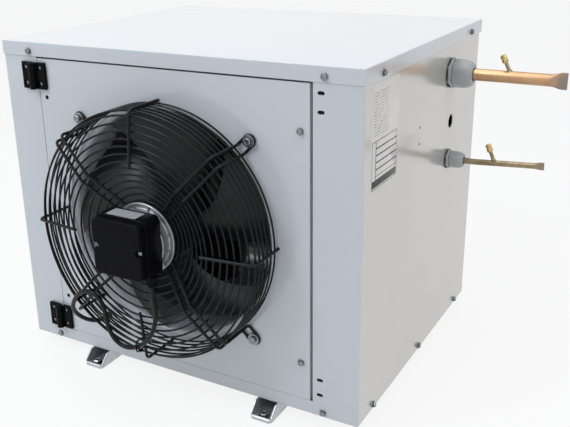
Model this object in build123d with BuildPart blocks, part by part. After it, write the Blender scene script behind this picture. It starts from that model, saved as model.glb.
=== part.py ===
from build123d import *
import math
import os

# Refrigeration condensing unit: a sheet-metal cabinet with an axial fan in its hinged front door.
# Origin: midway between the two rear foot holes, at floor level. +X right, +Y to the rear, +Z up.

os.makedirs("parts", exist_ok=True)

# ---- cabinet --------------------------------------------------------------------------------
CASE_W = 620.0  # over the side panels
CASE_D = 500.0  # over the front and rear flanges
CASE_H = 516.0  # underside of the base pan to the top of the lid
SHEET = 1.5
RUN_GAP = 0.3  # least gap between pieces that move past each other

LEFT_STRIP = 68.0  # front flange of the left side panel
RIGHT_STRIP = 72.0  # front flange of the right side panel
REAR_FLANGE = 26.0
SILL_H = 21.0  # front and rear upstands of the base pan
PAN_FLANGE = 24.0  # side upstands of the base pan
LANDING_D = 14.0  # depth of the ledge behind the door's free edge
LANDING_W = 26.0

LID_LIP = 22.0
LID_REAR_OVERHANG = 8.5
LID_EDGE_BEVEL = 0.8
RAIL_DROP = 34.0  # height of the rail above the coil
RAIL_FLANGE = 20.0

# ---- feet -----------------------------------------------------------------------------------
FOOT_W = 36.0
FOOT_H = 22.0
FOOT_SHEET = 2.0
FOOT_OUT = 26.0  # how far a rail's tip stands out past the cabinet
FOOT_SHOULDER = 8.5  # level stretch of its flanges before they slope down
FOOT_TIP_H = 4.5
FOOT_HOLE_OUT = 14.0  # hole centre, out from the cabinet's face
FOOT_HOLE_R = 4.5
FOOT_PITCH = 326.0
FOOT_TIP_BEVEL = 4.0
FOOT_BOLT_AF = 13.0
FOOT_BOLT_HEAD = 5.3
FOOT_BOLT_R = 4.0
FOOT_WASHER_R = 8.0
FOOT_WASHER_T = 1.6

LEFT = -CASE_W / 2
RIGHT = CASE_W / 2
REAR = -FOOT_HOLE_OUT
FRONT = REAR - CASE_D
MIDDLE = (FRONT + REAR) / 2
BOTTOM = FOOT_H
TOP = BOTTOM + CASE_H
PANEL_TOP = TOP - SHEET
FLOOR_TOP = BOTTOM + SHEET
INSIDE_LEFT = LEFT + SHEET
INSIDE_RIGHT = RIGHT - SHEET
INSIDE_REAR = REAR - SHEET

# ---- door -----------------------------------------------------------------------------------
DOOR_GAP_HINGE = 1.0
DOOR_GAP_FREE = 4.3
DOOR_GAP_TOP = 2.5
DOOR_GAP_BOTTOM = 0.5
DOOR_RETURN = 12.0
DOOR_LEFT = LEFT + LEFT_STRIP + DOOR_GAP_HINGE
DOOR_RIGHT = RIGHT - RIGHT_STRIP - DOOR_GAP_FREE
DOOR_BOTTOM = BOTTOM + SILL_H + DOOR_GAP_BOTTOM
DOOR_TOP = TOP - LID_LIP - DOOR_GAP_TOP
DOOR_BACK = FRONT + SHEET
DOOR_SPARE_R = 3.5
DOOR_SPARE_IN = 13.0  # spare holes, in from the door's hinged edge
DOOR_SPARE_UP = 64.0
DOOR_SPARE_DOWN = 61.0
DOOR_SCREW_IN = 14.0  # captive screws, in from the door's free edge
DOOR_SCREW_UP = 59.5
DOOR_SCREW_DOWN = 65.0
DOOR_SCREW_AF = 8.0
DOOR_SCREW_HEAD = 4.5
DOOR_SCREW_FLANGE_R = 5.5
DOOR_SCREW_FLANGE_T = 1.2

# ---- hinges ---------------------------------------------------------------------------------
HINGE_W = 47.0
HINGE_H = 42.0
HINGE_LEAF = 5.0
HINGE_AXIS_X = LEFT + 63.5
HINGE_AXIS_OUT = 7.0
HINGE_AXIS_Y = FRONT - HINGE_AXIS_OUT
HINGE_KNUCKLE_R = 6.0
HINGE_PIN_R = 2.5
HINGE_PIN_FIT = 0.05  # radial running clearance
HINGE_PIN_SEAT = 0.01  # radial clearance in the frame leaf
HINGE_TOP_DROP = 6.0  # upper hinge, below the door's top edge
HINGE_BOTTOM_RISE = 2.5  # lower hinge, above the door's bottom edge
HINGE_CHAMFER = 4.0
HINGE_STEPS = (0.0, 18.5, 37.0)  # ends of the two knuckles, from the hinge's lower end
HINGE_SCREW_FRAME = 16.5  # screw columns, out from the axis
HINGE_SCREW_DOOR = 12.5
HINGE_SCREW_IN = 8.5  # screw rows, in from the ends
HINGE_SCREW_AF = 6.0
HINGE_POCKET = 7.5  # square pockets that the screws sink into
HINGE_POCKET_FLOOR = 2.0
HINGE_LEAF_IN = 6.6  # inner edge of a leaf beside the other leaf's knuckle

# ---- fan ------------------------------------------------------------------------------------
FAN_X = LEFT + 300.6
FAN_Z = BOTTOM + 253.0
FAN_R = 174.0  # impeller tip
TIP_GAP = 4.0
THROAT_R = FAN_R + TIP_GAP
VENTURI_T = 1.5
VENTURI_FLARE = 9.0  # the mouth's taper, as wide as it is deep
VENTURI_LEN = 66.0
VENTURI_FLANGE = 12.0
OPENING_R = THROAT_R + VENTURI_FLARE
FIXING_CIRCLE_R = 215.0  # guard fixing screws, on the diagonals
GUARD_SCREW_AF = 10.0
GUARD_SCREW_HEAD = 4.2
GUARD_WASHER_R = 9.0
GUARD_WASHER_T = 1.6
WASHER_SIDES = 12

GUARD_RIM_R = 194.0  # centre line of the spokes' legs
GUARD_DEPTH = 68.0  # door face to the spokes' rim bend
GUARD_CROWN = 7.5  # how much further out the spokes' inner bend is
GUARD_BEND_R = 120.0
GUARD_HUB_R = 47.0
GUARD_HUB_RUN = 10.0
GUARD_HUB_DEPTH = 50.0
SPOKE_D = 4.6
SPOKE_PAIR = 16.0  # centre distance of a double spoke's two wires
SPOKE_CREASE = 3.0
SPOKE_BEND = 8.0
SPOKE_FOOT_BEND = 6.0
SPOKE_JOIN = 0.5  # straight stretch at the middle of a double spoke's loop
BEND_STEP = 32.0  # a wire's bends are chords of about this many degrees
SINGLE_INNER_R = 112.0
RING_D = 3.0
RING_SIDES = 16
RING_PITCH = 10.8
RING_FIRST_R = 55.0
RING_COUNT = 13
RING_SEAT = 0.1
SIDE_RINGS = 6
SIDE_RING_FIRST = 4.0
SIDE_RING_PITCH = 10.7

# ---- fan motor ------------------------------------------------------------------------------
ROTOR_R = 48.0
ROTOR_FRONT = 46.0  # in front of the door's face
ROTOR_BACK = 44.0  # behind it
ROTOR_WALL = 3.0
ROTOR_EDGE = 4.0
STATOR_FLANGE_R = 54.0
STATOR_FLANGE_T = 3.0
STATOR_R = 46.0
STATOR_CORE_R = 42.0
STATOR_CORE_BACK = 34.0
BOX_SEAT = 70.0  # the terminal box's back, in front of the door's face
SHAFT_R = 6.0
SHAFT_FIT = 0.05
BEARING_R = 14.0
BEARING_T = 9.0
BEARING_SEAT = 0.01
HUB_RING_T = 3.0
HUB_RING_FRONT = 6.0  # behind the door's face
HUB_RING_LEN = 36.0
BLADES = 5
BLADE_T = 2.0
BLADE_MIDDLE = 27.0  # blades' middle plane, behind the door's face
BLADE_STATIONS = (
    # radius, chord, pitch in degrees, sweep in degrees
    (44.0, 50.0, 46.0, 0.0),
    (90.0, 88.0, 34.0, 5.0),
    (135.0, 126.0, 26.0, 16.0),
    (185.0, 150.0, 20.0, 32.0),
)

# ---- terminal box on the motor --------------------------------------------------------------
BOX_SIDE = 90.0
BOX_X = FAN_X - 1.5
BOX_Z = FAN_Z + 3.5
BOX_BODY_D = 34.5
BOX_LID_D = 11.5
BOX_WALL = 3.0
BOX_CORNER_R = 10.0
BOX_LID_INSET = 2.7
BOX_LID_EDGE = 2.0
BOX_SCREW_OUT = 38.0
BOX_RECESS_R = 5.2
BOX_RECESS_D = 6.0
BOX_SCREW_R = 3.6
BOX_SCREW_H = 2.6
BOX_GLAND_X = FAN_X + 33.0
BOX_GLAND_OUT = 85.0
BOX_GLAND_AF = 17.0
BOX_GLAND_L = 18.0
BOX_GLAND_NUT = 8.0
CABLE_R = 3.5
CABLE_PLAY = 0.02

FAN_FACE = Plane(origin=(FAN_X, FRONT, FAN_Z), x_dir=(1, 0, 0), z_dir=(0, -1, 0))
FAN_PROFILE = Plane(origin=(FAN_X, FRONT, FAN_Z), x_dir=(1, 0, 0), z_dir=(0, 0, 1))
FAN_AXIS = Axis((FAN_X, FRONT, FAN_Z), (0, 1, 0))

DIAGONALS = (45.0, 135.0, 225.0, 315.0)
SQUARES = (0.0, 90.0, 180.0, 270.0)


def save(piece, name):
    """Label a finished piece and write it."""
    piece.part.label = name
    export_step(piece.part, f"parts/{name}.step")


def polar(radius, angle):
    """A point on a circle about the fan's axis, in the plane of the fan's face."""
    turn = math.radians(angle)
    return (radius * math.cos(turn), radius * math.sin(turn))


# ---- base pan: floor, front and rear upstands between the side panels' flanges ----------------
SILL_LEFT = LEFT + LEFT_STRIP
SILL_RIGHT = RIGHT - RIGHT_STRIP

with BuildPart() as base_pan:
    with BuildSketch(Plane.XY.offset(BOTTOM)):
        with Locations((0, MIDDLE)):
            Rectangle(CASE_W - 2 * SHEET, CASE_D - 2 * SHEET)
    extrude(amount=SHEET)
    with BuildSketch(Plane.XY.offset(BOTTOM)):
        with Locations(((SILL_LEFT + SILL_RIGHT) / 2, FRONT + SHEET / 2)):
            Rectangle(SILL_RIGHT - SILL_LEFT, SHEET)
        with Locations((0, REAR - SHEET / 2)):
            Rectangle(CASE_W - 2 * REAR_FLANGE, SHEET)
    extrude(amount=SILL_H)
    with BuildSketch(Plane.XY.offset(BOTTOM)):
        with Locations((INSIDE_LEFT + SHEET / 2, MIDDLE), (INSIDE_RIGHT - SHEET / 2, MIDDLE)):
            Rectangle(SHEET, CASE_D - 2 * SHEET)
    extrude(amount=PAN_FLANGE)
save(base_pan, "base_pan")

# ---- feet: two upward-open channels across the cabinet's depth -------------------------------
FOOT_TIPS = (FRONT - FOOT_OUT, REAR + FOOT_OUT)


def foot_rail(x):
    """Channel profile in side view, drawn solid, rounded at its tips and then hollowed."""
    with BuildSketch(Plane.YZ.offset(x - FOOT_W / 2)) as side:
        with BuildLine():
            Polyline(
                (FOOT_TIPS[0], 0),
                (FOOT_TIPS[0], FOOT_TIP_H),
                (FRONT - FOOT_SHOULDER, FOOT_H),
                (REAR + FOOT_SHOULDER, FOOT_H),
                (FOOT_TIPS[1], FOOT_TIP_H),
                (FOOT_TIPS[1], 0),
                close=True,
            )
        make_face()
    return side.sketch


for foot_name, foot_x in (("foot_left", -FOOT_PITCH / 2), ("foot_right", FOOT_PITCH / 2)):
    with BuildPart() as foot:
        extrude(foot_rail(foot_x), amount=FOOT_W)
        tip_edges = foot.edges().filter_by(Axis.Z)
        chamfer(tip_edges, FOOT_TIP_BEVEL)
        with BuildSketch(Plane.XY.offset(FOOT_SHEET)):
            with Locations((foot_x, MIDDLE)):
                Rectangle(FOOT_W - 2 * FOOT_SHEET, CASE_D + 2 * FOOT_OUT - 2 * FOOT_SHEET)
        extrude(amount=FOOT_H, mode=Mode.SUBTRACT)
        with BuildSketch():
            with Locations((foot_x, FRONT - FOOT_HOLE_OUT), (foot_x, REAR + FOOT_HOLE_OUT)):
                Circle(FOOT_HOLE_R)
        extrude(amount=FOOT_SHEET, mode=Mode.SUBTRACT)
    save(foot, foot_name)

FRONT_HOLES = [(-FOOT_PITCH / 2, FRONT - FOOT_HOLE_OUT), (FOOT_PITCH / 2, FRONT - FOOT_HOLE_OUT)]

with BuildPart() as foot_bolts:
    with BuildSketch():
        with Locations(*FRONT_HOLES):
            Circle(FOOT_BOLT_R)
    extrude(amount=FOOT_SHEET)
    with BuildSketch(Plane.XY.offset(FOOT_SHEET)):
        with Locations(*FRONT_HOLES):
            RegularPolygon(FOOT_WASHER_R, WASHER_SIDES)
    extrude(amount=FOOT_WASHER_T)
    with BuildSketch(Plane.XY.offset(FOOT_SHEET + FOOT_WASHER_T)):
        with Locations(*FRONT_HOLES):
            RegularPolygon(FOOT_BOLT_AF / 2, 6, major_radius=False)
    extrude(amount=FOOT_BOLT_HEAD)
save(foot_bolts, "foot_bolts")

# ---- service openings of the right side panel --------------------------------------------------
PORT_LARGE = (REAR - 152.8, BOTTOM + 450.5)  # (y, z) of the suction line's gland
PORT_SMALL = (REAR - 146.0, BOTTOM + 306.1)
CABLE_ENTRY = (REAR - 138.6, BOTTOM + 368.0)
CABLE_ENTRY_R = 11.25
SWITCH_HOLES = (FRONT + 210.8, BOTTOM + 379.4)  # middle of the accessory hole pair
SWITCH_PITCH = 25.4
SWITCH_HOLE_R = 2.5
GLAND_LARGE_THREAD_R = 16.0
GLAND_SMALL_THREAD_R = 10.0
STRIP_SLOT_L = 10.0
STRIP_SLOT_W = 5.0
STRIP_SLOT_X = RIGHT - 60.4
STRIP_SLOT_ROWS = (BOTTOM + 479.9, BOTTOM + 454.7, BOTTOM + 59.7, BOTTOM + 35.0)
DOOR_SCREW_X = DOOR_RIGHT - DOOR_SCREW_IN
DOOR_SCREWS = ((DOOR_SCREW_X, DOOR_BOTTOM + DOOR_SCREW_UP), (DOOR_SCREW_X, DOOR_TOP - DOOR_SCREW_DOWN))
PANEL_H = PANEL_TOP - BOTTOM
SIDE_FACE = Plane(origin=(RIGHT, 0, 0), x_dir=(0, 1, 0), z_dir=(1, 0, 0))
FRONT_FACE = Plane(origin=(0, FRONT, 0), x_dir=(1, 0, 0), z_dir=(0, -1, 0))

# ---- left side panel: front strip, side and rear flange in one folded sheet ---------------------
with BuildPart() as side_panel_left:
    with BuildSketch(Plane.XY.offset(BOTTOM)):
        with BuildLine():
            Polyline(
                (LEFT, FRONT),
                (LEFT + LEFT_STRIP, FRONT),
                (LEFT + LEFT_STRIP, FRONT + SHEET),
                (INSIDE_LEFT, FRONT + SHEET),
                (INSIDE_LEFT, INSIDE_REAR),
                (LEFT + REAR_FLANGE, INSIDE_REAR),
                (LEFT + REAR_FLANGE, REAR),
                (LEFT, REAR),
                close=True,
            )
        make_face()
    extrude(amount=PANEL_H)
    fillet(side_panel_left.edges().filter_by(Axis.Z).group_by(Axis.X)[0], SHEET)
save(side_panel_left, "side_panel_left")

# ---- right side panel, with the stepped landing behind the door's free edge --------------------
LANDING_FRONT = FRONT + LANDING_D

with BuildPart() as side_panel_right:
    with BuildSketch(Plane.XY.offset(BOTTOM)):
        with BuildLine():
            Polyline(
                (RIGHT, FRONT),
                (SILL_RIGHT, FRONT),
                (SILL_RIGHT, FRONT + SHEET),
                (INSIDE_RIGHT, FRONT + SHEET),
                (INSIDE_RIGHT, INSIDE_REAR),
                (RIGHT - REAR_FLANGE, INSIDE_REAR),
                (RIGHT - REAR_FLANGE, REAR),
                (RIGHT, REAR),
                close=True,
            )
        make_face()
    extrude(amount=PANEL_H)
    fillet(side_panel_right.edges().filter_by(Axis.Z).group_by(Axis.X)[-1], SHEET)
    with BuildSketch(Plane.XY.offset(FLOOR_TOP)):
        with BuildLine():
            Polyline(
                (SILL_RIGHT, FRONT + SHEET),
                (SILL_RIGHT + SHEET, FRONT + SHEET),
                (SILL_RIGHT + SHEET, LANDING_FRONT + SHEET),
                (SILL_RIGHT - LANDING_W, LANDING_FRONT + SHEET),
                (SILL_RIGHT - LANDING_W, LANDING_FRONT),
                (SILL_RIGHT, LANDING_FRONT),
                close=True,
            )
        make_face()
    extrude(amount=PANEL_TOP - FLOOR_TOP)
    with BuildSketch(FRONT_FACE) as strip_slots:
        with Locations(*[(STRIP_SLOT_X, row) for row in STRIP_SLOT_ROWS]):
            Rectangle(STRIP_SLOT_L, STRIP_SLOT_W)
        chamfer(strip_slots.vertices(), STRIP_SLOT_W / 3)
    extrude(amount=-SHEET, mode=Mode.SUBTRACT)
    with BuildSketch(SIDE_FACE):
        with Locations(PORT_LARGE):
            Circle(GLAND_LARGE_THREAD_R)
        with Locations(PORT_SMALL):
            Circle(GLAND_SMALL_THREAD_R)
        with Locations(CABLE_ENTRY):
            Circle(CABLE_ENTRY_R)
        with Locations(SWITCH_HOLES):
            with GridLocations(0, SWITCH_PITCH, 1, 2):
                Circle(SWITCH_HOLE_R)
    extrude(amount=-SHEET, mode=Mode.SUBTRACT)
save(side_panel_right, "side_panel_right")

# ---- lid: a shallow tray over the panels, standing out as a drip edge at the rear ---------------
LID_W = CASE_W + 2 * SHEET
LID_D = CASE_D + LID_REAR_OVERHANG + SHEET
LID_MIDDLE = FRONT - SHEET + LID_D / 2

with BuildPart() as lid:
    with BuildSketch(Plane.XY.offset(TOP - LID_LIP)):
        with Locations((0, LID_MIDDLE)):
            Rectangle(LID_W, LID_D)
    extrude(amount=LID_LIP)
    chamfer(lid.edges().filter_by(Axis.Z), LID_EDGE_BEVEL)
    chamfer(lid.faces().sort_by(Axis.Z)[-1].edges(), LID_EDGE_BEVEL)
    with BuildSketch(Plane.XY.offset(TOP - LID_LIP)):
        with Locations((0, LID_MIDDLE)):
            Rectangle(LID_W - 2 * SHEET, LID_D - 2 * SHEET)
    extrude(amount=LID_LIP - SHEET, mode=Mode.SUBTRACT)
save(lid, "lid")

# ---- rail that closes the rear above the coil --------------------------------------------------
RAIL_W = CASE_W - 2 * REAR_FLANGE

with BuildPart() as rear_top_rail:
    with BuildSketch(Plane.XY.offset(PANEL_TOP - RAIL_DROP)):
        with Locations((0, REAR - SHEET / 2)):
            Rectangle(RAIL_W, SHEET)
    extrude(amount=RAIL_DROP)
    with BuildSketch(Plane.XY.offset(PANEL_TOP - SHEET)):
        with Locations((0, INSIDE_REAR - RAIL_FLANGE / 2)):
            Rectangle(CASE_W - 2 * SHEET, RAIL_FLANGE)
    extrude(amount=SHEET)
save(rear_top_rail, "rear_top_rail")

# ---- hinges: leaves with interleaved knuckles on a plain pin ------------------------------------
HINGE_FLOORS = (DOOR_BOTTOM + HINGE_BOTTOM_RISE, DOOR_TOP - HINGE_TOP_DROP - HINGE_H)
HINGE_HALF = HINGE_W / 2


def hinge_leaf(floor, side):
    """Plan outline of one plain leaf, its outer corners bevelled. side is -1 on the frame, 1 on the door."""
    inner = HINGE_AXIS_X + side * HINGE_LEAF_IN
    outer = HINGE_AXIS_X + side * HINGE_HALF
    with BuildSketch(FRONT_FACE) as leaf:
        with Locations(((inner + outer) / 2, floor + HINGE_H / 2)):
            Rectangle(abs(outer - inner), HINGE_H)
        chamfer(leaf.vertices().group_by(Axis.X)[0 if side > 0 else -1], HINGE_CHAMFER)
    return leaf.sketch


def hinge_knuckle(side):
    """Cross-section of a knuckle and the web that joins it to its leaf, clear of what it turns past."""
    reach = HINGE_LEAF_IN + HINGE_CHAMFER
    with BuildSketch() as ring:
        with Locations((HINGE_AXIS_X, HINGE_AXIS_Y)):
            Circle(HINGE_KNUCKLE_R)
        with Locations((HINGE_AXIS_X + side * reach / 2, FRONT - HINGE_LEAF / 2 - RUN_GAP)):
            Rectangle(reach, HINGE_LEAF - 2 * RUN_GAP)
        with Locations((HINGE_AXIS_X, HINGE_AXIS_Y)):
            Circle(HINGE_PIN_R + (HINGE_PIN_FIT if side > 0 else HINGE_PIN_SEAT), mode=Mode.SUBTRACT)
    return ring.sketch


def hinge_screw_places(floor, side):
    """Screw centres of one leaf."""
    column = HINGE_AXIS_X + (HINGE_SCREW_DOOR if side > 0 else -HINGE_SCREW_FRAME)
    return [(column, floor + HINGE_SCREW_IN), (column, floor + HINGE_H - HINGE_SCREW_IN)]


for hinge_name, floor in zip(("lower", "upper"), HINGE_FLOORS):
    for leaf_name, side, first in (("hinge_leaf", -1, 1), ("door_hinge_leaf", 1, 0)):
        with BuildPart() as hinge_half:
            extrude(hinge_leaf(floor, side), amount=HINGE_LEAF)
            for step in range(first, len(HINGE_STEPS) - 1, 2):
                low = HINGE_STEPS[step] + (RUN_GAP if step else 0)
                extrude(
                    hinge_knuckle(side).moved(Location((0, 0, floor + low))),
                    amount=HINGE_STEPS[step + 1] - low,
                )
            with BuildSketch(FRONT_FACE.offset(HINGE_POCKET_FLOOR)):
                with Locations(*hinge_screw_places(floor, side)):
                    Rectangle(HINGE_POCKET, HINGE_POCKET)
            extrude(amount=HINGE_LEAF, mode=Mode.SUBTRACT)
        save(hinge_half, f"{leaf_name}_{hinge_name}")

with BuildPart() as hinge_pins:
    for floor in HINGE_FLOORS:
        with BuildSketch(Plane.XY.offset(floor)) as pin_end:
            with Locations((HINGE_AXIS_X, HINGE_AXIS_Y)):
                Circle(HINGE_PIN_R)
        extrude(pin_end.sketch, amount=HINGE_STEPS[-1])
save(hinge_pins, "hinge_pins")

for screws_name, side in (("hinge_frame_screws", -1), ("door_hinge_screws", 1)):
    with BuildPart() as hinge_screws:
        for floor in HINGE_FLOORS:
            with BuildSketch(FRONT_FACE.offset(HINGE_POCKET_FLOOR)) as screw_heads:
                with Locations(*hinge_screw_places(floor, side)):
                    RegularPolygon(HINGE_SCREW_AF / 2, 6, major_radius=False)
            extrude(screw_heads.sketch, amount=HINGE_LEAF - HINGE_POCKET_FLOOR - 0.5)
    save(hinge_screws, screws_name)

# ---- door: a shallow tray with the fan opening ----------------------------------------------------
DOOR_W = DOOR_RIGHT - DOOR_LEFT
DOOR_H = DOOR_TOP - DOOR_BOTTOM
DOOR_CENTRE = ((DOOR_LEFT + DOOR_RIGHT) / 2, (DOOR_BOTTOM + DOOR_TOP) / 2)
SPARE_X = DOOR_LEFT + DOOR_SPARE_IN
SPARE_HOLES = [(SPARE_X, DOOR_BOTTOM + DOOR_SPARE_UP), (SPARE_X, DOOR_TOP - DOOR_SPARE_DOWN)]
GROMMET_X = FAN_X - 131.0
GROMMET_Z = FAN_Z - 184.3
GROMMET_R = 7.5
GROMMET_NECK_R = 5.5
GROMMET_LIP = 2.5

with BuildPart() as door_panel:
    with BuildSketch(FRONT_FACE):
        with Locations(DOOR_CENTRE):
            Rectangle(DOOR_W, DOOR_H)
    extrude(amount=-DOOR_RETURN)
    with BuildSketch(FRONT_FACE.offset(-SHEET)):
        with Locations(DOOR_CENTRE):
            Rectangle(DOOR_W - 2 * SHEET, DOOR_H - 2 * SHEET)
    extrude(amount=-DOOR_RETURN, mode=Mode.SUBTRACT)
    with BuildSketch(FAN_FACE):
        Circle(OPENING_R)
    extrude(amount=-SHEET, mode=Mode.SUBTRACT)
    with BuildSketch(FRONT_FACE):
        with Locations(*SPARE_HOLES):
            Circle(DOOR_SPARE_R)
        with Locations((GROMMET_X, GROMMET_Z)):
            Circle(GROMMET_NECK_R)
    extrude(amount=-SHEET, mode=Mode.SUBTRACT)
save(door_panel, "door_panel")

# ---- venturi ring: mounting flange, flared mouth and throat ---------------------------------------
with BuildPart() as venturi_ring:
    with BuildSketch(FAN_PROFILE):
        with BuildLine():
            Polyline(
                (OPENING_R, SHEET),
                (OPENING_R + VENTURI_FLANGE, SHEET),
                (OPENING_R + VENTURI_FLANGE, SHEET + VENTURI_T),
                (OPENING_R, SHEET + VENTURI_T),
                (THROAT_R + VENTURI_T, SHEET + VENTURI_FLARE),
                (THROAT_R + VENTURI_T, VENTURI_LEN),
                (THROAT_R, VENTURI_LEN),
                (THROAT_R, SHEET + VENTURI_FLARE),
                close=True,
            )
        make_face()
    revolve(axis=FAN_AXIS)
save(venturi_ring, "venturi_ring")

# ---- fan guard: welded rings behind four double and four single wire spokes -----------------------
# Spoke frame: X out along the radius, Y across it, Z out from the door's face.
SPOKE_FLAT = SPOKE_D / 2
BEND_DEPTH = GUARD_DEPTH + GUARD_CROWN
HUB_RUN_R = GUARD_HUB_R + GUARD_HUB_RUN
LOOP_R = FIXING_CIRCLE_R + SPOKE_PAIR / 2


def rim_depth(radius):
    """Depth of the line from the spokes' inner bend to their rim bend."""
    return BEND_DEPTH - GUARD_CROWN / (GUARD_RIM_R - GUARD_BEND_R) * (radius - GUARD_BEND_R)


def face_depth(radius):
    """Depth of the spokes' centre line in front of the door at a radius."""
    if radius < HUB_RUN_R:
        return GUARD_HUB_DEPTH
    if radius < GUARD_BEND_R:
        rise = (BEND_DEPTH - GUARD_HUB_DEPTH) / (GUARD_BEND_R - HUB_RUN_R)
        return GUARD_HUB_DEPTH + rise * (radius - HUB_RUN_R)
    return rim_depth(radius)


def wire_back(radius):
    """Depth of the wires' rear flat, square to their slope."""
    step = 0.01
    slope = (face_depth(radius + step) - face_depth(radius)) / step
    return face_depth(radius) - SPOKE_FLAT * math.hypot(1, slope)


def ring_front(radius):
    """Front of a face ring seated on the back of the spokes."""
    return min(wire_back(radius - RING_D / 2), wire_back(radius + RING_D / 2)) - RING_SEAT


def bent_wire(corners, bends):
    """Corner points of a wire with each bend cut into equal chords of its arc."""
    points = [Vector(*corners[0])]
    for before, corner, after, bend in zip(corners, corners[1:], corners[2:], bends):
        corner = Vector(*corner)
        way_in = (corner - Vector(*before)).normalized()
        way_out = (Vector(*after) - corner).normalized()
        turn = math.radians(way_in.get_angle(way_out))
        centre_way = (way_out - way_in).normalized()
        centre = corner + centre_way * (bend / math.cos(turn / 2))
        first = corner - way_in * (bend * math.tan(turn / 2)) - centre
        steps = max(1, round(math.degrees(turn) / BEND_STEP))
        across = way_in.cross(way_out).normalized()
        for step in range(steps + 1):
            swung = math.degrees(turn) * step / steps
            points.append(centre + first.rotate(Axis((0, 0, 0), tuple(across)), swung))
    points.append(Vector(*corners[-1]))
    return points


with BuildPart() as double_spoke:
    with BuildLine() as double_route:
        Polyline(
            *bent_wire(
                (
                    (GUARD_HUB_R, -SPOKE_PAIR / 2, GUARD_HUB_DEPTH),
                    (HUB_RUN_R, -SPOKE_PAIR / 2, GUARD_HUB_DEPTH),
                    (GUARD_BEND_R, -SPOKE_PAIR / 2, BEND_DEPTH),
                    (GUARD_RIM_R, -SPOKE_PAIR / 2, GUARD_DEPTH),
                    (GUARD_RIM_R, -SPOKE_PAIR / 2, SPOKE_FLAT),
                    (LOOP_R, -SPOKE_PAIR / 2, SPOKE_FLAT),
                    (LOOP_R, 0, SPOKE_FLAT),
                ),
                (SPOKE_CREASE, SPOKE_CREASE, SPOKE_BEND, SPOKE_FOOT_BEND, SPOKE_PAIR / 2 - SPOKE_JOIN),
            )
        )
    with BuildSketch(Plane(origin=double_route.line @ 0, x_dir=(0, 1, 0), z_dir=double_route.line % 0)):
        Rectangle(SPOKE_D, SPOKE_D)
    sweep(transition=Transition.RIGHT)
    mirror(about=Plane.XZ)

with BuildPart() as single_spoke:
    with BuildLine() as single_route:
        Polyline(
            *bent_wire(
                (
                    (SINGLE_INNER_R, 0, rim_depth(SINGLE_INNER_R)),
                    (GUARD_RIM_R, 0, GUARD_DEPTH),
                    (GUARD_RIM_R, 0, 0),
                ),
                (SPOKE_BEND,),
            )
        )
    with BuildSketch(Plane(origin=single_route.line @ 0, x_dir=(0, 1, 0), z_dir=single_route.line % 0)):
        Rectangle(SPOKE_D, SPOKE_D)
    sweep(transition=Transition.RIGHT)

FACE_RING_RADII = [RING_FIRST_R + RING_PITCH * count for count in range(RING_COUNT)]
SIDE_RING_R = GUARD_RIM_R - SPOKE_FLAT - RING_SEAT - RING_D / 2
RINGS = [(radius, ring_front(radius)) for radius in FACE_RING_RADII]
RINGS += [
    (SIDE_RING_R, SIDE_RING_FIRST + SIDE_RING_PITCH * count + RING_D / 2) for count in range(SIDE_RINGS)
]

with BuildPart() as fan_guard:
    for angle in DIAGONALS:
        add(double_spoke.part.moved(FAN_FACE.location * Location((0, 0, 0), (0, 0, angle))))
    for angle in SQUARES:
        add(single_spoke.part.moved(FAN_FACE.location * Location((0, 0, 0), (0, 0, angle))))
    for ring_radius, ring_depth in RINGS:
        with BuildSketch(FAN_FACE.offset(ring_depth)) as ring:
            RegularPolygon(
                ring_radius + RING_D / 2, RING_SIDES, major_radius=False, rotation=180 / RING_SIDES
            )
            RegularPolygon(
                ring_radius - RING_D / 2,
                RING_SIDES,
                major_radius=False,
                rotation=180 / RING_SIDES,
                mode=Mode.SUBTRACT,
            )
        extrude(ring.sketch, amount=-RING_D)
save(fan_guard, "fan_guard")

GUARD_SCREW_PLACES = [polar(FIXING_CIRCLE_R, angle) for angle in DIAGONALS]

with BuildPart() as guard_screws:
    with BuildSketch(FAN_FACE.offset(SPOKE_D)):
        with Locations(*GUARD_SCREW_PLACES):
            RegularPolygon(GUARD_WASHER_R, WASHER_SIDES)
    extrude(amount=GUARD_WASHER_T)
    with BuildSketch(FAN_FACE.offset(SPOKE_D + GUARD_WASHER_T)):
        with Locations(*GUARD_SCREW_PLACES):
            RegularPolygon(GUARD_SCREW_AF / 2, 6, major_radius=False)
    extrude(amount=GUARD_SCREW_HEAD)
save(guard_screws, "guard_screws")

# ---- fan motor: stator on the spokes, rotor can around it -----------------------------------------
FLANGE_BACK = GUARD_HUB_DEPTH + SPOKE_FLAT
FLANGE_FRONT = FLANGE_BACK + STATOR_FLANGE_T
CORE_FRONT = ROTOR_FRONT - 6.0
FRONT_BEARING = -CORE_FRONT + 4.0  # near face of each bearing, behind the door's face
REAR_BEARING = STATOR_CORE_BACK - BEARING_T - 3.0
SPIGOT_R = 30.0
SHAFT_FRONT = FRONT_BEARING - 1.0

with BuildPart() as motor_stator:
    with BuildSketch(FAN_PROFILE):
        with BuildLine():
            Polyline(
                (0, -BOX_SEAT),
                (STATOR_R, -BOX_SEAT),
                (STATOR_R, -FLANGE_FRONT),
                (STATOR_FLANGE_R, -FLANGE_FRONT),
                (STATOR_FLANGE_R, -FLANGE_BACK),
                (SPIGOT_R, -FLANGE_BACK),
                (SPIGOT_R, -CORE_FRONT),
                (STATOR_CORE_R, -CORE_FRONT),
                (STATOR_CORE_R, STATOR_CORE_BACK),
                (BEARING_R, STATOR_CORE_BACK),
                (BEARING_R, SHAFT_FRONT - RUN_GAP),
                (0, SHAFT_FRONT - RUN_GAP),
                close=True,
            )
        make_face()
    revolve(axis=FAN_AXIS)
save(motor_stator, "motor_stator")

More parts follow.
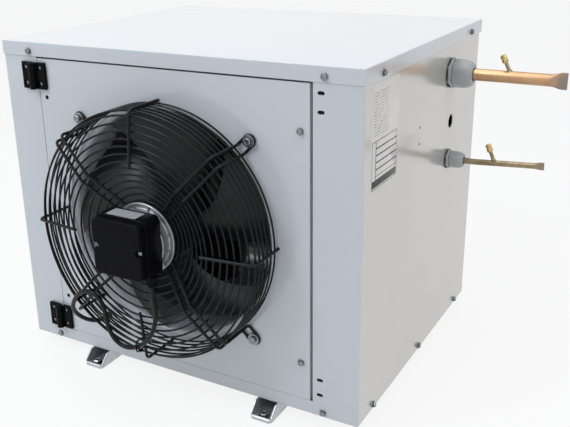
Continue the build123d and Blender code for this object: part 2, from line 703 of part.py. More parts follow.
with BuildPart() as motor_bearings:
    for bearing in (FRONT_BEARING, REAR_BEARING):
        with BuildSketch(FAN_FACE.offset(-bearing)) as race:
            Circle(BEARING_R - BEARING_SEAT)
            Circle(SHAFT_R + SHAFT_FIT, mode=Mode.SUBTRACT)
        extrude(race.sketch, amount=-BEARING_T)
save(motor_bearings, "motor_bearings")

with BuildPart() as rotor_can:
    with BuildSketch(FAN_PROFILE):
        with BuildLine():
            Polyline(
                (ROTOR_R, -ROTOR_FRONT),
                (ROTOR_R, ROTOR_BACK - ROTOR_EDGE),
                (ROTOR_R - ROTOR_EDGE, ROTOR_BACK),
                (SHAFT_R, ROTOR_BACK),
                (SHAFT_R, ROTOR_BACK - ROTOR_WALL),
                (ROTOR_R - ROTOR_WALL, ROTOR_BACK - ROTOR_WALL - ROTOR_EDGE),
                (ROTOR_R - ROTOR_WALL, -ROTOR_FRONT),
                close=True,
            )
        make_face()
    revolve(axis=FAN_AXIS)
save(rotor_can, "rotor_can")

with BuildPart() as fan_shaft:
    with BuildSketch(FAN_FACE.offset(-SHAFT_FRONT)):
        Circle(SHAFT_R)
    extrude(amount=SHAFT_FRONT - ROTOR_BACK)
save(fan_shaft, "fan_shaft")

# ---- impeller: five swept and twisted blades welded to a ring on the rotor can -----------------------
with BuildPart() as blade:
    for radius, chord, pitch, sweep_angle in BLADE_STATIONS:
        turn = math.radians(sweep_angle)
        tilt = math.radians(pitch)
        outward = Vector(math.cos(turn), math.sin(turn), 0)
        chord_dir = Vector(-math.sin(turn) * math.cos(tilt), math.cos(turn) * math.cos(tilt), math.sin(tilt))
        station = Plane(origin=outward * radius, x_dir=chord_dir, z_dir=outward)
        with BuildSketch(station):
            Rectangle(chord, BLADE_T)
    loft()

with BuildPart() as impeller:
    for count in range(BLADES):
        turned = Location((0, 0, -BLADE_MIDDLE), (0, 0, 360 / BLADES * count))
        add(blade.part.moved(FAN_FACE.location * turned))
    with BuildSketch(FAN_FACE):
        Circle(FAN_R)
    extrude(amount=-VENTURI_LEN, mode=Mode.INTERSECT)
    with BuildSketch(FAN_FACE.offset(-HUB_RING_FRONT)):
        Circle(ROTOR_R + HUB_RING_T)
    extrude(amount=-HUB_RING_LEN)
    with BuildSketch(FAN_FACE):
        Circle(ROTOR_R)
    extrude(amount=-VENTURI_LEN, mode=Mode.SUBTRACT)
save(impeller, "impeller")

# ---- terminal box on the motor --------------------------------------------------------------------
BOX_AT = (BOX_X, BOX_Z)
BOX_LID_SIDE = BOX_SIDE - 2 * BOX_LID_INSET
BOX_JOINT = BOX_SEAT + BOX_BODY_D
BOX_FRONT = BOX_JOINT + BOX_LID_D

with BuildPart() as terminal_box:
    with BuildSketch(FRONT_FACE.offset(BOX_SEAT)):
        with Locations(BOX_AT):
            RectangleRounded(BOX_SIDE, BOX_SIDE, BOX_CORNER_R)
    extrude(amount=BOX_BODY_D)
    with BuildSketch(FRONT_FACE.offset(BOX_SEAT + BOX_WALL)):
        with Locations(BOX_AT):
            RectangleRounded(BOX_SIDE - 2 * BOX_WALL, BOX_SIDE - 2 * BOX_WALL, BOX_CORNER_R - BOX_WALL)
    extrude(amount=BOX_BODY_D, mode=Mode.SUBTRACT)
save(terminal_box, "terminal_box")

BOX_SCREW_PLACES = [(BOX_X - BOX_SCREW_OUT, BOX_Z), (BOX_X + BOX_SCREW_OUT, BOX_Z)]
BOX_POCKET = 2 * (BOX_SCREW_OUT - BOX_RECESS_R - BOX_WALL)

with BuildPart() as terminal_box_lid:
    with BuildSketch(FRONT_FACE.offset(BOX_JOINT)):
        with Locations(BOX_AT):
            RectangleRounded(BOX_LID_SIDE, BOX_LID_SIDE, BOX_CORNER_R - BOX_LID_INSET)
    extrude(amount=BOX_LID_D)
    chamfer(terminal_box_lid.faces().sort_by(Axis.Y)[0].edges(), BOX_LID_EDGE)
    with BuildSketch(FRONT_FACE.offset(BOX_FRONT)):
        with Locations(*BOX_SCREW_PLACES):
            Circle(BOX_RECESS_R)
        with Locations(*[(2 * place[0] - BOX_X, BOX_Z) for place in BOX_SCREW_PLACES]):
            Rectangle(2 * BOX_SCREW_OUT, 2 * BOX_RECESS_R)
    extrude(amount=-BOX_RECESS_D, mode=Mode.SUBTRACT)
    with BuildSketch(FRONT_FACE.offset(BOX_JOINT)):
        with Locations(BOX_AT):
            Rectangle(BOX_POCKET, BOX_POCKET)
    extrude(amount=BOX_LID_D - BOX_WALL, mode=Mode.SUBTRACT)
save(terminal_box_lid, "terminal_box_lid")

with BuildPart() as terminal_box_screws:
    with BuildSketch(FRONT_FACE.offset(BOX_FRONT - BOX_RECESS_D)):
        with Locations(*BOX_SCREW_PLACES):
            RegularPolygon(BOX_SCREW_R, WASHER_SIDES)
    extrude(amount=BOX_SCREW_H)
save(terminal_box_screws, "terminal_box_screws")

# ---- thread-forming screws of the casing: plain hexagon heads ---------------------------------------
LIP_ROW = TOP - 14.0
FOOT_ROW = BOTTOM + 7.0
SCREW_EDGE = 55.0  # end screws of a row, in from the casing's corners
FRONT_SCREWS = [
    (LEFT + SCREW_EDGE, LIP_ROW),
    (RIGHT - SCREW_EDGE, LIP_ROW),
    (LEFT + SCREW_EDGE, FOOT_ROW),
    (RIGHT - SCREW_EDGE, FOOT_ROW),
]
SIDE_LIP_SCREWS = [(FRONT + SCREW_EDGE, LIP_ROW), (REAR - SCREW_EDGE, LIP_ROW)]
SIDE_FOOT_SCREWS = [(FRONT + SCREW_EDGE, FOOT_ROW), (MIDDLE, FOOT_ROW), (REAR - SCREW_EDGE, FOOT_ROW)]
SCREW_AF = 9.0
SCREW_HEAD = 4.5
LEFT_FACE = Plane(origin=(LEFT, 0, 0), x_dir=(0, 1, 0), z_dir=(-1, 0, 0))


def screw_heads(plane, places):
    """Hexagon heads standing on a face."""
    with BuildSketch(plane) as heads:
        with Locations(*places):
            RegularPolygon(SCREW_AF / 2, 6, major_radius=False)
    extrude(heads.sketch, amount=SCREW_HEAD)


with BuildPart() as casing_screws:
    screw_heads(FRONT_FACE.offset(SHEET), FRONT_SCREWS[:2])
    screw_heads(FRONT_FACE, FRONT_SCREWS[2:])
    screw_heads(SIDE_FACE.offset(SHEET), SIDE_LIP_SCREWS)
    screw_heads(SIDE_FACE, SIDE_FOOT_SCREWS)
    screw_heads(LEFT_FACE.offset(SHEET), [(place[0], -place[1]) for place in SIDE_LIP_SCREWS])
    screw_heads(LEFT_FACE, [(place[0], -place[1]) for place in SIDE_FOOT_SCREWS])
save(casing_screws, "casing_screws")

with BuildPart() as door_screws:
    screw_heads(FRONT_FACE, DOOR_SCREWS)
save(door_screws, "door_screws")

# ---- condenser coil behind the cabinet's open rear ---------------------------------------------------
COIL_D = 44.0
COIL_LEFT = LEFT + REAR_FLANGE - 0.5
COIL_RIGHT = RIGHT - 60.0
COIL_BOTTOM = BOTTOM + 30.0
COIL_TOP = PANEL_TOP - RAIL_DROP
COIL_TUBE_R = 4.76
COIL_TUBE_PITCH = 25.0
COIL_TUBES = 18
COIL_TUBE_Y = INSIDE_REAR - COIL_D / 2
COIL_PLATE_IN = 6.0  # end plates stand this far in front of the fins
FIN_PITCH = 17.5
FIN_GROOVE = 10.0
FIN_GROOVE_D = 3.0
TUBE_ROWS = [COIL_BOTTOM + COIL_TUBE_PITCH * (row + 0.5) for row in range(COIL_TUBES)]
PIPE_SIDES = 8

with BuildPart() as condenser_fins:
    with BuildSketch(Plane.XY.offset(COIL_BOTTOM)):
        with Locations(((COIL_LEFT + COIL_RIGHT) / 2, COIL_TUBE_Y)):
            Rectangle(COIL_RIGHT - COIL_LEFT, COIL_D)
        with Locations(((COIL_LEFT + COIL_RIGHT) / 2, INSIDE_REAR)):
            with GridLocations(FIN_PITCH, 0, int((COIL_RIGHT - COIL_LEFT) / FIN_PITCH) - 1, 1):
                Rectangle(FIN_GROOVE, 2 * FIN_GROOVE_D, mode=Mode.SUBTRACT)
    extrude(amount=COIL_TOP - COIL_BOTTOM)
save(condenser_fins, "condenser_fins")

PLATE_FLANGE_GAP = 1.0
COIL_ENDS = (
    ("left", COIL_LEFT, -1, INSIDE_LEFT + SHEET + PLATE_FLANGE_GAP),
    ("right", COIL_RIGHT, 1, INSIDE_RIGHT - SHEET - PLATE_FLANGE_GAP),
)

for end_name, end_x, outward, flange_x in COIL_ENDS:
    with BuildPart() as end_plate:
        with BuildSketch(Plane.XY.offset(FLOOR_TOP)):
            with Locations((end_x + outward * SHEET / 2, COIL_TUBE_Y - COIL_PLATE_IN / 2)):
                Rectangle(SHEET, COIL_D + COIL_PLATE_IN)
        extrude(amount=COIL_TOP - FLOOR_TOP)
        with BuildSketch(Plane.XY.offset(COIL_BOTTOM)):
            with Locations(((end_x + flange_x) / 2, INSIDE_REAR - SHEET / 2)):
                Rectangle(abs(flange_x - end_x), SHEET)
        extrude(amount=COIL_TOP - COIL_BOTTOM)
    save(end_plate, f"condenser_end_plate_{end_name}")

    with BuildPart() as return_bends:
        first_row = 0 if outward < 0 else 1
        for row in range(first_row, COIL_TUBES - 1, 2):
            base = Vector(end_x + outward * SHEET, COIL_TUBE_Y, TUBE_ROWS[row])
            reach = outward * COIL_TUBE_PITCH / 2
            with BuildLine() as hairpin:
                Polyline(
                    base,
                    base + Vector(reach / 2, 0, 0),
                    base + Vector(reach, 0, COIL_TUBE_PITCH / 4),
                    base + Vector(reach, 0, COIL_TUBE_PITCH * 3 / 4),
                    base + Vector(reach / 2, 0, COIL_TUBE_PITCH),
                    base + Vector(0, 0, COIL_TUBE_PITCH),
                )
            with BuildSketch(Plane(origin=base, z_dir=(outward, 0, 0))) as hairpin_section:
                RegularPolygon(COIL_TUBE_R, 6)
            sweep(hairpin_section.sketch, path=hairpin.line, transition=Transition.RIGHT)
    save(return_bends, f"condenser_bends_{end_name}")

# ---- compressor ---------------------------------------------------------------------------------------
COMP_X = LEFT + 430.0
COMP_Y = REAR - 250.0
COMP_R = 78.0
COMP_SHELL_H = 190.0
COMP_SHOULDER = 26.0
COMP_CROWN_R = 34.0
COMP_BASE_W = 190.0
COMP_BASE_D = 150.0
COMP_BASE_T = 4.0
COMP_BASE_CORNER = 20.0
COMP_MOUNT_R = 14.0
COMP_MOUNT_H = 20.0
COMP_MOUNT_IN = 20.0
COMP_BOSS_R = 13.0
COMP_BOSS_L = 10.0
COMP_PORT_Z = 130.0  # discharge boss, above the base plate
COMP_COVER_W = 52.0
COMP_COVER_D = 26.0
COMP_COVER_H = 64.0
COMP_FLOOR = FLOOR_TOP + COMP_MOUNT_H
COMP_FOOT = COMP_FLOOR + COMP_BASE_T
COMP_TOP = COMP_FOOT + COMP_SHELL_H
MOUNT_GRID = (COMP_BASE_W - 2 * COMP_MOUNT_IN, COMP_BASE_D - 2 * COMP_MOUNT_IN)

with BuildPart() as compressor_shell:
    with BuildSketch(Plane(origin=(COMP_X, COMP_Y, COMP_FOOT), x_dir=(1, 0, 0), z_dir=(0, -1, 0))):
        with BuildLine():
            Polyline(
                (0, 0),
                (COMP_R - COMP_SHOULDER, 0),
                (COMP_R, COMP_SHOULDER),
                (COMP_R, COMP_SHELL_H - COMP_SHOULDER),
                (COMP_CROWN_R, COMP_SHELL_H),
                (0, COMP_SHELL_H),
                close=True,
            )
        make_face()
    revolve(axis=Axis((COMP_X, COMP_Y, 0), (0, 0, 1)))
    with BuildSketch(Plane.XY.offset(COMP_TOP)):
        with Locations((COMP_X, COMP_Y)):
            RegularPolygon(COMP_BOSS_R, PIPE_SIDES)
    extrude(amount=COMP_BOSS_L)
    with BuildSketch(Plane.YZ.offset(COMP_X + COMP_R + COMP_BOSS_L)):
        with Locations((COMP_Y, COMP_FOOT + COMP_PORT_Z)):
            RegularPolygon(COMP_BOSS_R, PIPE_SIDES)
    extrude(amount=-COMP_BOSS_L - COMP_BOSS_R)
save(compressor_shell, "compressor_shell")

with BuildPart() as compressor_base:
    with BuildSketch(Plane.XY.offset(COMP_FLOOR)) as base_outline:
        with Locations((COMP_X, COMP_Y)):
            Rectangle(COMP_BASE_W, COMP_BASE_D)
        chamfer(base_outline.vertices(), COMP_BASE_CORNER)
    extrude(amount=COMP_BASE_T)
save(compressor_base, "compressor_base")

with BuildPart() as compressor_mounts:
    with BuildSketch(Plane.XY.offset(FLOOR_TOP)):
        with Locations((COMP_X, COMP_Y)):
            with GridLocations(*MOUNT_GRID, 2, 2):
                RegularPolygon(COMP_MOUNT_R, PIPE_SIDES)
    extrude(amount=COMP_MOUNT_H, taper=6)
save(compressor_mounts, "compressor_mounts")

with BuildPart() as compressor_cover:
    with BuildSketch(Plane.XY.offset(COMP_FOOT + COMP_PORT_Z - COMP_COVER_H / 2)):
        with Locations((COMP_X, COMP_Y - COMP_R)):
            Rectangle(COMP_COVER_W, 2 * COMP_COVER_D)
    extrude(amount=COMP_COVER_H)
    chamfer(compressor_cover.faces().sort_by(Axis.Y)[0].edges(), COMP_COVER_D / 5)
    with BuildSketch(Plane.XY.offset(COMP_FOOT)):
        with Locations((COMP_X, COMP_Y)):
            Circle(COMP_R + 0.02)
    extrude(amount=COMP_SHELL_H, mode=Mode.SUBTRACT)
save(compressor_cover, "compressor_cover")

# ---- liquid receiver -------------------------------------------------------------------------------------
RECEIVER_X = LEFT + 160.0
RECEIVER_Y = PORT_SMALL[0]
RECEIVER_R = 57.0
RECEIVER_SKIRT_R = 42.0
RECEIVER_SKIRT_H = 18.0
RECEIVER_DOME = 22.0
RECEIVER_NECK_R = 26.0
RECEIVER_TOP = PORT_SMALL[1] - 22.0
RECEIVER_VALVE = 24.0
RECEIVER_BOSS_L = 6.0

with BuildPart() as liquid_receiver:
    with BuildSketch(Plane(origin=(RECEIVER_X, RECEIVER_Y, 0), x_dir=(1, 0, 0), z_dir=(0, -1, 0))):
        with BuildLine():
            Polyline(
                (0, FLOOR_TOP),
                (RECEIVER_SKIRT_R, FLOOR_TOP),
                (RECEIVER_SKIRT_R, FLOOR_TOP + RECEIVER_SKIRT_H),
                (RECEIVER_R, FLOOR_TOP + RECEIVER_SKIRT_H + RECEIVER_DOME),
                (RECEIVER_R, RECEIVER_TOP - RECEIVER_DOME),
                (RECEIVER_NECK_R, RECEIVER_TOP),
                (0, RECEIVER_TOP),
                close=True,
            )
        make_face()
    revolve(axis=Axis((RECEIVER_X, RECEIVER_Y, 0), (0, 0, 1)))
    with BuildSketch(Plane.XY.offset(RECEIVER_TOP)):
        with Locations((RECEIVER_X, RECEIVER_Y)):
            Rectangle(RECEIVER_VALVE, RECEIVER_VALVE)
    extrude(amount=PORT_SMALL[1] - RECEIVER_TOP + RECEIVER_VALVE / 2)
    with BuildSketch(Plane.XZ.offset(-RECEIVER_Y - RECEIVER_R - RECEIVER_BOSS_L)):
        with Locations((RECEIVER_X, TUBE_ROWS[0] + RECEIVER_DOME)):
            RegularPolygon(COMP_BOSS_R, PIPE_SIDES)
    extrude(amount=RECEIVER_BOSS_L + COMP_BOSS_R)
save(liquid_receiver, "liquid_receiver")

# ---- pipes inside the cabinet ----------------------------------------------------------------------------
SUCTION_R = 9.525
LIQUID_R = 4.76
DISCHARGE_R = 5.0
SUCTION_BEND = 30.0
PIPE_BEND = 20.0
SUCTION_JOIN_X = RIGHT - 80.0  # where the inner suction pipe meets the stub
DRIER_LEFT = LEFT + 380.0
DRIER_RIGHT = LEFT + 480.0
DRIER_R = 22.0
DRIER_CONE = 14.0
HEADER_X = RIGHT - 30.0


def bent_pipe(corners, bends, radius):
    """An eight-sided bar along a bent route."""
    with BuildLine() as path:
        Polyline(*bent_wire(corners, bends))
    with BuildSketch(Plane(origin=path.line @ 0, z_dir=path.line % 0)) as section:
        RegularPolygon(radius, PIPE_SIDES)
    sweep(section.sketch, path=path.line, transition=Transition.RIGHT)


with BuildPart() as suction_line:
    bent_pipe(
        (
            (COMP_X, COMP_Y, COMP_TOP + COMP_BOSS_L),
            (COMP_X, COMP_Y, PORT_LARGE[1]),
            (COMP_X, PORT_LARGE[0], PORT_LARGE[1]),
            (SUCTION_JOIN_X, PORT_LARGE[0], PORT_LARGE[1]),
        ),
        (SUCTION_BEND, SUCTION_BEND),
        SUCTION_R,
    )
save(suction_line, "suction_line")

with BuildPart() as discharge_line:
    bent_pipe(
        (
            (COMP_X + COMP_R + COMP_BOSS_L, COMP_Y, COMP_FOOT + COMP_PORT_Z),
            (HEADER_X, COMP_Y, COMP_FOOT + COMP_PORT_Z),
            (HEADER_X, COMP_Y, TUBE_ROWS[-1]),
            (HEADER_X, COIL_TUBE_Y, TUBE_ROWS[-1]),
            (COIL_RIGHT + SHEET, COIL_TUBE_Y, TUBE_ROWS[-1]),
        ),
        (PIPE_BEND, PIPE_BEND, PIPE_BEND),
        DISCHARGE_R,
    )
save(discharge_line, "discharge_line")

CONDENSATE_Y = RECEIVER_Y + RECEIVER_R + RECEIVER_BOSS_L + PIPE_BEND

with BuildPart() as condensate_line:
    bent_pipe(
        (
            (COIL_RIGHT + SHEET, COIL_TUBE_Y, TUBE_ROWS[0]),
            (HEADER_X, COIL_TUBE_Y, TUBE_ROWS[0]),
            (HEADER_X, CONDENSATE_Y, TUBE_ROWS[0] + RECEIVER_DOME),
            (RECEIVER_X, CONDENSATE_Y, TUBE_ROWS[0] + RECEIVER_DOME),
            (RECEIVER_X, RECEIVER_Y + RECEIVER_R + RECEIVER_BOSS_L, TUBE_ROWS[0] + RECEIVER_DOME),
        ),
        (PIPE_BEND / 2, PIPE_BEND / 2, PIPE_BEND / 2),
        LIQUID_R,
    )
save(condensate_line, "condensate_line")

with BuildPart() as receiver_line:
    with BuildSketch(Plane.YZ.offset(RECEIVER_X + RECEIVER_VALVE / 2)):
        with Locations(PORT_SMALL):
            RegularPolygon(LIQUID_R, PIPE_SIDES)
    extrude(amount=DRIER_LEFT - RECEIVER_X - RECEIVER_VALVE / 2)
save(receiver_line, "receiver_line")

with BuildPart() as filter_drier:
    with BuildSketch(Plane(origin=(DRIER_LEFT, *PORT_SMALL), x_dir=(1, 0, 0), z_dir=(0, -1, 0))):
        with BuildLine():
            Polyline(
                (0, 0),
                (0, LIQUID_R + SHEET),
                (DRIER_CONE, DRIER_R),
                (DRIER_RIGHT - DRIER_LEFT - DRIER_CONE, DRIER_R),
                (DRIER_RIGHT - DRIER_LEFT, LIQUID_R + SHEET),
                (DRIER_RIGHT - DRIER_LEFT, 0),
                close=True,
            )
        make_face()
    revolve(axis=Axis((DRIER_LEFT, *PORT_SMALL), (1, 0, 0)))
save(filter_drier, "filter_drier")

# ---- copper stubs through the right side, their ends pinched shut -----------------------------------------
SUCTION_TIP = RIGHT + 178.2
SUCTION_PINCH = 22.0
SUCTION_PINCH_H = 26.0
SUCTION_PINCH_T = 3.2
SUCTION_FLAT = 10.0
LIQUID_TIP = RIGHT + 155.6
LIQUID_PINCH = 14.0
LIQUID_PINCH_H = 12.5
LIQUID_PINCH_T = 2.4
LIQUID_FLAT = 7.0
LIQUID_KINK = RIGHT + 45.0
LIQUID_RISE = 3.6  # degrees that the liquid stub leans up beyond its gland
VALVE_LEAN = 24.0
VALVE_STEM_R = 3.0
VALVE_STEM_L = 13.0
VALVE_CAP_AF = 9.0
VALVE_CAP_L = 12.0
VALVE_LARGE_X = RIGHT + 96.8
VALVE_SMALL_X = RIGHT + 78.6

TUBE_SIDES = 16


def tube_outline(half_width, half_height):
    """Outline of a tube, round or pressed oval, from its half-width and half-height."""
    turns = [2 * math.pi * side / TUBE_SIDES for side in range(TUBE_SIDES)]
    Polygon(*[(half_width * math.cos(turn), half_height * math.sin(turn)) for turn in turns])


with BuildPart() as suction_stub:
    suction_round = Plane(origin=(SUCTION_JOIN_X, *PORT_LARGE), x_dir=(0, 1, 0), z_dir=(1, 0, 0))
    suction_run = SUCTION_TIP - SUCTION_FLAT - SUCTION_PINCH - SUCTION_JOIN_X
    with BuildSketch(suction_round):
        tube_outline(SUCTION_R, SUCTION_R)
    extrude(amount=suction_run)
    with BuildSketch(suction_round.offset(suction_run)) as pinch_start:
        tube_outline(SUCTION_R, SUCTION_R)
    with BuildSketch(suction_round.offset(suction_run + SUCTION_PINCH)) as pinch_end:
        tube_outline(SUCTION_PINCH_T / 2, SUCTION_PINCH_H / 2)
    loft([pinch_start.sketch.face(), pinch_end.sketch.face()], ruled=True)
    extrude(pinch_end.sketch, amount=SUCTION_FLAT)
save(suction_stub, "suction_stub")

LEAN = math.radians(LIQUID_RISE)
LIQUID_WAY = Vector(math.cos(LEAN), 0, math.sin(LEAN))
LIQUID_CORNER = Vector(LIQUID_KINK, *PORT_SMALL)
LIQUID_ROUND_END = LIQUID_CORNER + LIQUID_WAY * (LIQUID_TIP - LIQUID_KINK - LIQUID_FLAT - LIQUID_PINCH)

with BuildPart() as liquid_stub:
    with BuildLine() as liquid_route:
        Polyline((DRIER_RIGHT, *PORT_SMALL), LIQUID_CORNER, LIQUID_ROUND_END)
    with BuildSketch(Plane(origin=(DRIER_RIGHT, *PORT_SMALL), x_dir=(0, 1, 0), z_dir=(1, 0, 0))) as liquid_round:
        tube_outline(LIQUID_R, LIQUID_R)
    sweep(liquid_round.sketch, path=liquid_route.line, transition=Transition.RIGHT)
    liquid_end = Plane(origin=LIQUID_ROUND_END, x_dir=(0, 1, 0), z_dir=LIQUID_WAY)
    with BuildSketch(liquid_end) as liquid_pinch_start:
        tube_outline(LIQUID_R, LIQUID_R)
    with BuildSketch(liquid_end.offset(LIQUID_PINCH)) as liquid_pinch_end:
        tube_outline(LIQUID_PINCH_T / 2, LIQUID_PINCH_H / 2)
    loft([liquid_pinch_start.sketch.face(), liquid_pinch_end.sketch.face()], ruled=True)
    extrude(liquid_pinch_end.sketch, amount=LIQUID_FLAT)
save(liquid_stub, "liquid_stub")

VALVES = (
    ("large", Vector(VALVE_LARGE_X, *PORT_LARGE), 0.0, SUCTION_R),
    ("small", LIQUID_CORNER + LIQUID_WAY * (VALVE_SMALL_X - LIQUID_KINK), LIQUID_RISE, LIQUID_R),
)

for valve_name, valve_foot, slope, pipe_radius in VALVES:
    with BuildPart() as service_valve:
        lean = math.radians(VALVE_LEAN - slope)
        up = Vector(-math.sin(lean), 0, math.cos(lean))
        stem_plane = Plane(origin=valve_foot, x_dir=(0, 1, 0), z_dir=up)
        with BuildSketch(stem_plane):
            Circle(VALVE_STEM_R)
        extrude(amount=pipe_radius + VALVE_STEM_L)
        with BuildSketch(stem_plane.offset(pipe_radius + VALVE_STEM_L)):
            RegularPolygon(VALVE_CAP_AF / 2, 6, major_radius=False)
        extrude(amount=VALVE_CAP_L)
        pipe_way = Vector(math.cos(math.radians(slope)), 0, math.sin(math.radians(slope)))
        with BuildSketch(Plane(origin=valve_foot - pipe_way * VALVE_CAP_L, z_dir=pipe_way)):
            Circle(pipe_radius + 0.01)
        extrude(amount=2 * VALVE_CAP_L, mode=Mode.SUBTRACT)
    save(service_valve, f"service_valve_{valve_name}")

# ---- plastic glands where the stubs leave the cabinet ------------------------------------------------------
GLAND_BORE_PLAY = 0.075
GLAND_THREAD_PLAY = 0.1
GLAND_THREAD_L = 10.0
GLAND_NUT_T = 5.0
GLANDS = (
    # name, port, thread radius, tube radius, base flats, base thickness, body flats, body length, mouth radius, overall
    ("large", PORT_LARGE, GLAND_LARGE_THREAD_R, SUCTION_R, 46.0, 7.0, 42.0, 20.0, 14.0, 38.0),
    ("small", PORT_SMALL, GLAND_SMALL_THREAD_R, LIQUID_R, 31.0, 6.0, 26.0, 13.0, 8.5, 28.7),
)

for gland_name, port, thread_r, tube_r, base_af, base_t, body_af, body_l, mouth_r, overall in GLANDS:
    with BuildPart() as gland:
        with BuildSketch(SIDE_FACE):
            with Locations(port):
                RegularPolygon(base_af / 2, 6, major_radius=False)
        extrude(amount=base_t)
        with BuildSketch(SIDE_FACE.offset(base_t)):
            with Locations(port):
                RegularPolygon(body_af / 2, 6, major_radius=False, rotation=30)
        extrude(amount=body_l)
        with BuildSketch(SIDE_FACE.offset(base_t + body_l)) as dome_foot:
            with Locations(port):
                RegularPolygon(body_af / 2, 12, major_radius=False)
        with BuildSketch(SIDE_FACE.offset(overall)) as dome_mouth:
            with Locations(port):
                RegularPolygon(mouth_r, 12, major_radius=False)
        loft([dome_foot.sketch.face(), dome_mouth.sketch.face()])
        with BuildSketch(SIDE_FACE):
            with Locations(port):
                tube_outline(thread_r - GLAND_THREAD_PLAY, thread_r - GLAND_THREAD_PLAY)
        extrude(amount=-SHEET - GLAND_THREAD_L)
        with BuildSketch(SIDE_FACE.offset(overall)):
            with Locations(port):
                tube_outline(tube_r + GLAND_BORE_PLAY, tube_r + GLAND_BORE_PLAY)
        extrude(amount=-overall - SHEET - GLAND_THREAD_L, mode=Mode.SUBTRACT)
    save(gland, f"gland_{gland_name}")

with BuildPart() as gland_locknuts:
    for gland_name, port, thread_r, tube_r, base_af, *rest in GLANDS:
        with BuildSketch(SIDE_FACE.offset(-SHEET)) as locknut:
            with Locations(port):
                RegularPolygon(base_af / 2, 6, major_radius=False)
                RegularPolygon(thread_r, TUBE_SIDES, mode=Mode.SUBTRACT)
        extrude(locknut.sketch, amount=-GLAND_NUT_T)
save(gland_locknuts, "gland_locknuts")

# ---- control box on the right wall -----------------------------------------------------------------------------
CONTROL_Y = FRONT + 120.0
CONTROL_Z = BOTTOM + 280.0
CONTROL_W = 120.0
CONTROL_H = 160.0
CONTROL_D = 56.0
CONTROL_T = 1.2
CONTROL_LIP = 10.0
CONTROL_FACE = SIDE_FACE.offset(-SHEET)
BLOCK_W = 22.0
BLOCK_H = 90.0
BLOCK_D = 18.0
BLOCK_WAYS = 5
BLOCK_PITCH = 16.0
BLOCK_SLOT = 9.0
BLOCK_SLOT_D = 7.0

with BuildPart() as control_box:
    with BuildSketch(CONTROL_FACE):
        with Locations((CONTROL_Y, CONTROL_Z)):
            Rectangle(CONTROL_W, CONTROL_H)
    extrude(amount=-CONTROL_D)
    with BuildSketch(CONTROL_FACE.offset(-CONTROL_T)):
        with Locations((CONTROL_Y, CONTROL_Z)):
            Rectangle(CONTROL_W - 2 * CONTROL_T, CONTROL_H - 2 * CONTROL_T)
    extrude(amount=-CONTROL_D, mode=Mode.SUBTRACT)
save(control_box, "control_box")

with BuildPart() as control_box_cover:
    with BuildSketch(CONTROL_FACE.offset(-CONTROL_D)):
        with Locations((CONTROL_Y, CONTROL_Z)):
            Rectangle(CONTROL_W, CONTROL_H)
    extrude(amount=-CONTROL_T)
    with BuildSketch(CONTROL_FACE.offset(-CONTROL_D)):
        with Locations((CONTROL_Y, CONTROL_Z)):
            Rectangle(CONTROL_W - 3 * CONTROL_T, CONTROL_H - 3 * CONTROL_T)
            Rectangle(CONTROL_W - 5 * CONTROL_T, CONTROL_H - 5 * CONTROL_T, mode=Mode.SUBTRACT)
    extrude(amount=CONTROL_LIP)
save(control_box_cover, "control_box_cover")

with BuildPart() as terminal_block:
    with BuildSketch(CONTROL_FACE.offset(-CONTROL_T)):
        with Locations((CONTROL_Y, CONTROL_Z)):
            Rectangle(BLOCK_W, BLOCK_H)
    extrude(amount=-BLOCK_D)
    with BuildSketch(CONTROL_FACE.offset(-CONTROL_T - BLOCK_D)):
        with Locations((CONTROL_Y, CONTROL_Z)):
            with GridLocations(0, BLOCK_PITCH, 1, BLOCK_WAYS):
                Rectangle(BLOCK_W - 2 * CONTROL_T, BLOCK_SLOT)
    extrude(amount=BLOCK_SLOT_D, mode=Mode.SUBTRACT)
save(terminal_block, "terminal_block")

# ---- motor cable: from the terminal box, round the guard and through the door -------------------------------------
BOX_BOTTOM = BOX_Z - BOX_SIDE / 2
GLAND_END = BOX_BOTTOM - BOX_GLAND_L
CABLE_START = BOX_BOTTOM - BOX_GLAND_NUT
GLAND_CONE_R = 6.0
GROMMET_OUT = 2.5
CABLE_SIDES = 6

with BuildPart() as motor_cable_gland:
    with BuildSketch(Plane.XY.offset(BOX_BOTTOM)):
        with Locations((BOX_GLAND_X, FRONT - BOX_GLAND_OUT)):
            RegularPolygon(BOX_GLAND_AF / 2, 6, major_radius=False)
    extrude(amount=-BOX_GLAND_NUT)
    with BuildSketch(Plane.XY.offset(CABLE_START)):
        with Locations((BOX_GLAND_X, FRONT - BOX_GLAND_OUT)):
            Circle(BOX_GLAND_AF / 2 - 0.5)
            Circle(CABLE_R + CABLE_PLAY, mode=Mode.SUBTRACT)
    extrude(amount=GLAND_END - CABLE_START)
save(motor_cable_gland, "motor_cable_gland")

# Points of the route from the fan's centre: right of it, out from the door, above it.
CABLE_ROUTE = (
    (33.0, 85.0, CABLE_START - FAN_Z),
    (33.0, 85.0, -78.0),
    (34.5, 82.5, -102.0),
    (29.0, 80.5, -126.0),
    (16.0, 79.0, -150.0),
    (-5.0, 78.0, -170.0),
    (-29.0, 78.0, -179.0),
    (-50.0, 79.0, -172.0),
    (-61.0, 80.5, -152.5),
    (-63.0, 82.0, -130.0),
    (-67.0, 82.5, -108.0),
    (-83.0, 83.0, -95.0),
    (-105.0, 82.0, -96.5),
    (-125.0, 79.0, -114.0),
    (-140.0, 73.0, -137.0),
    (-144.5, 60.0, -157.0),
    (-140.5, 44.0, -173.0),
    (-133.5, 27.0, -182.0),
    (-131.0, 11.0, -184.3),
    (-131.0, -SHEET - GROMMET_OUT, -184.3),
)
CABLE_POINTS = [Vector(FAN_X + x, FRONT - out, FAN_Z + z) for x, out, z in CABLE_ROUTE]
CABLE_RUNS = [after - before for before, after in zip(CABLE_POINTS, CABLE_POINTS[1:])]
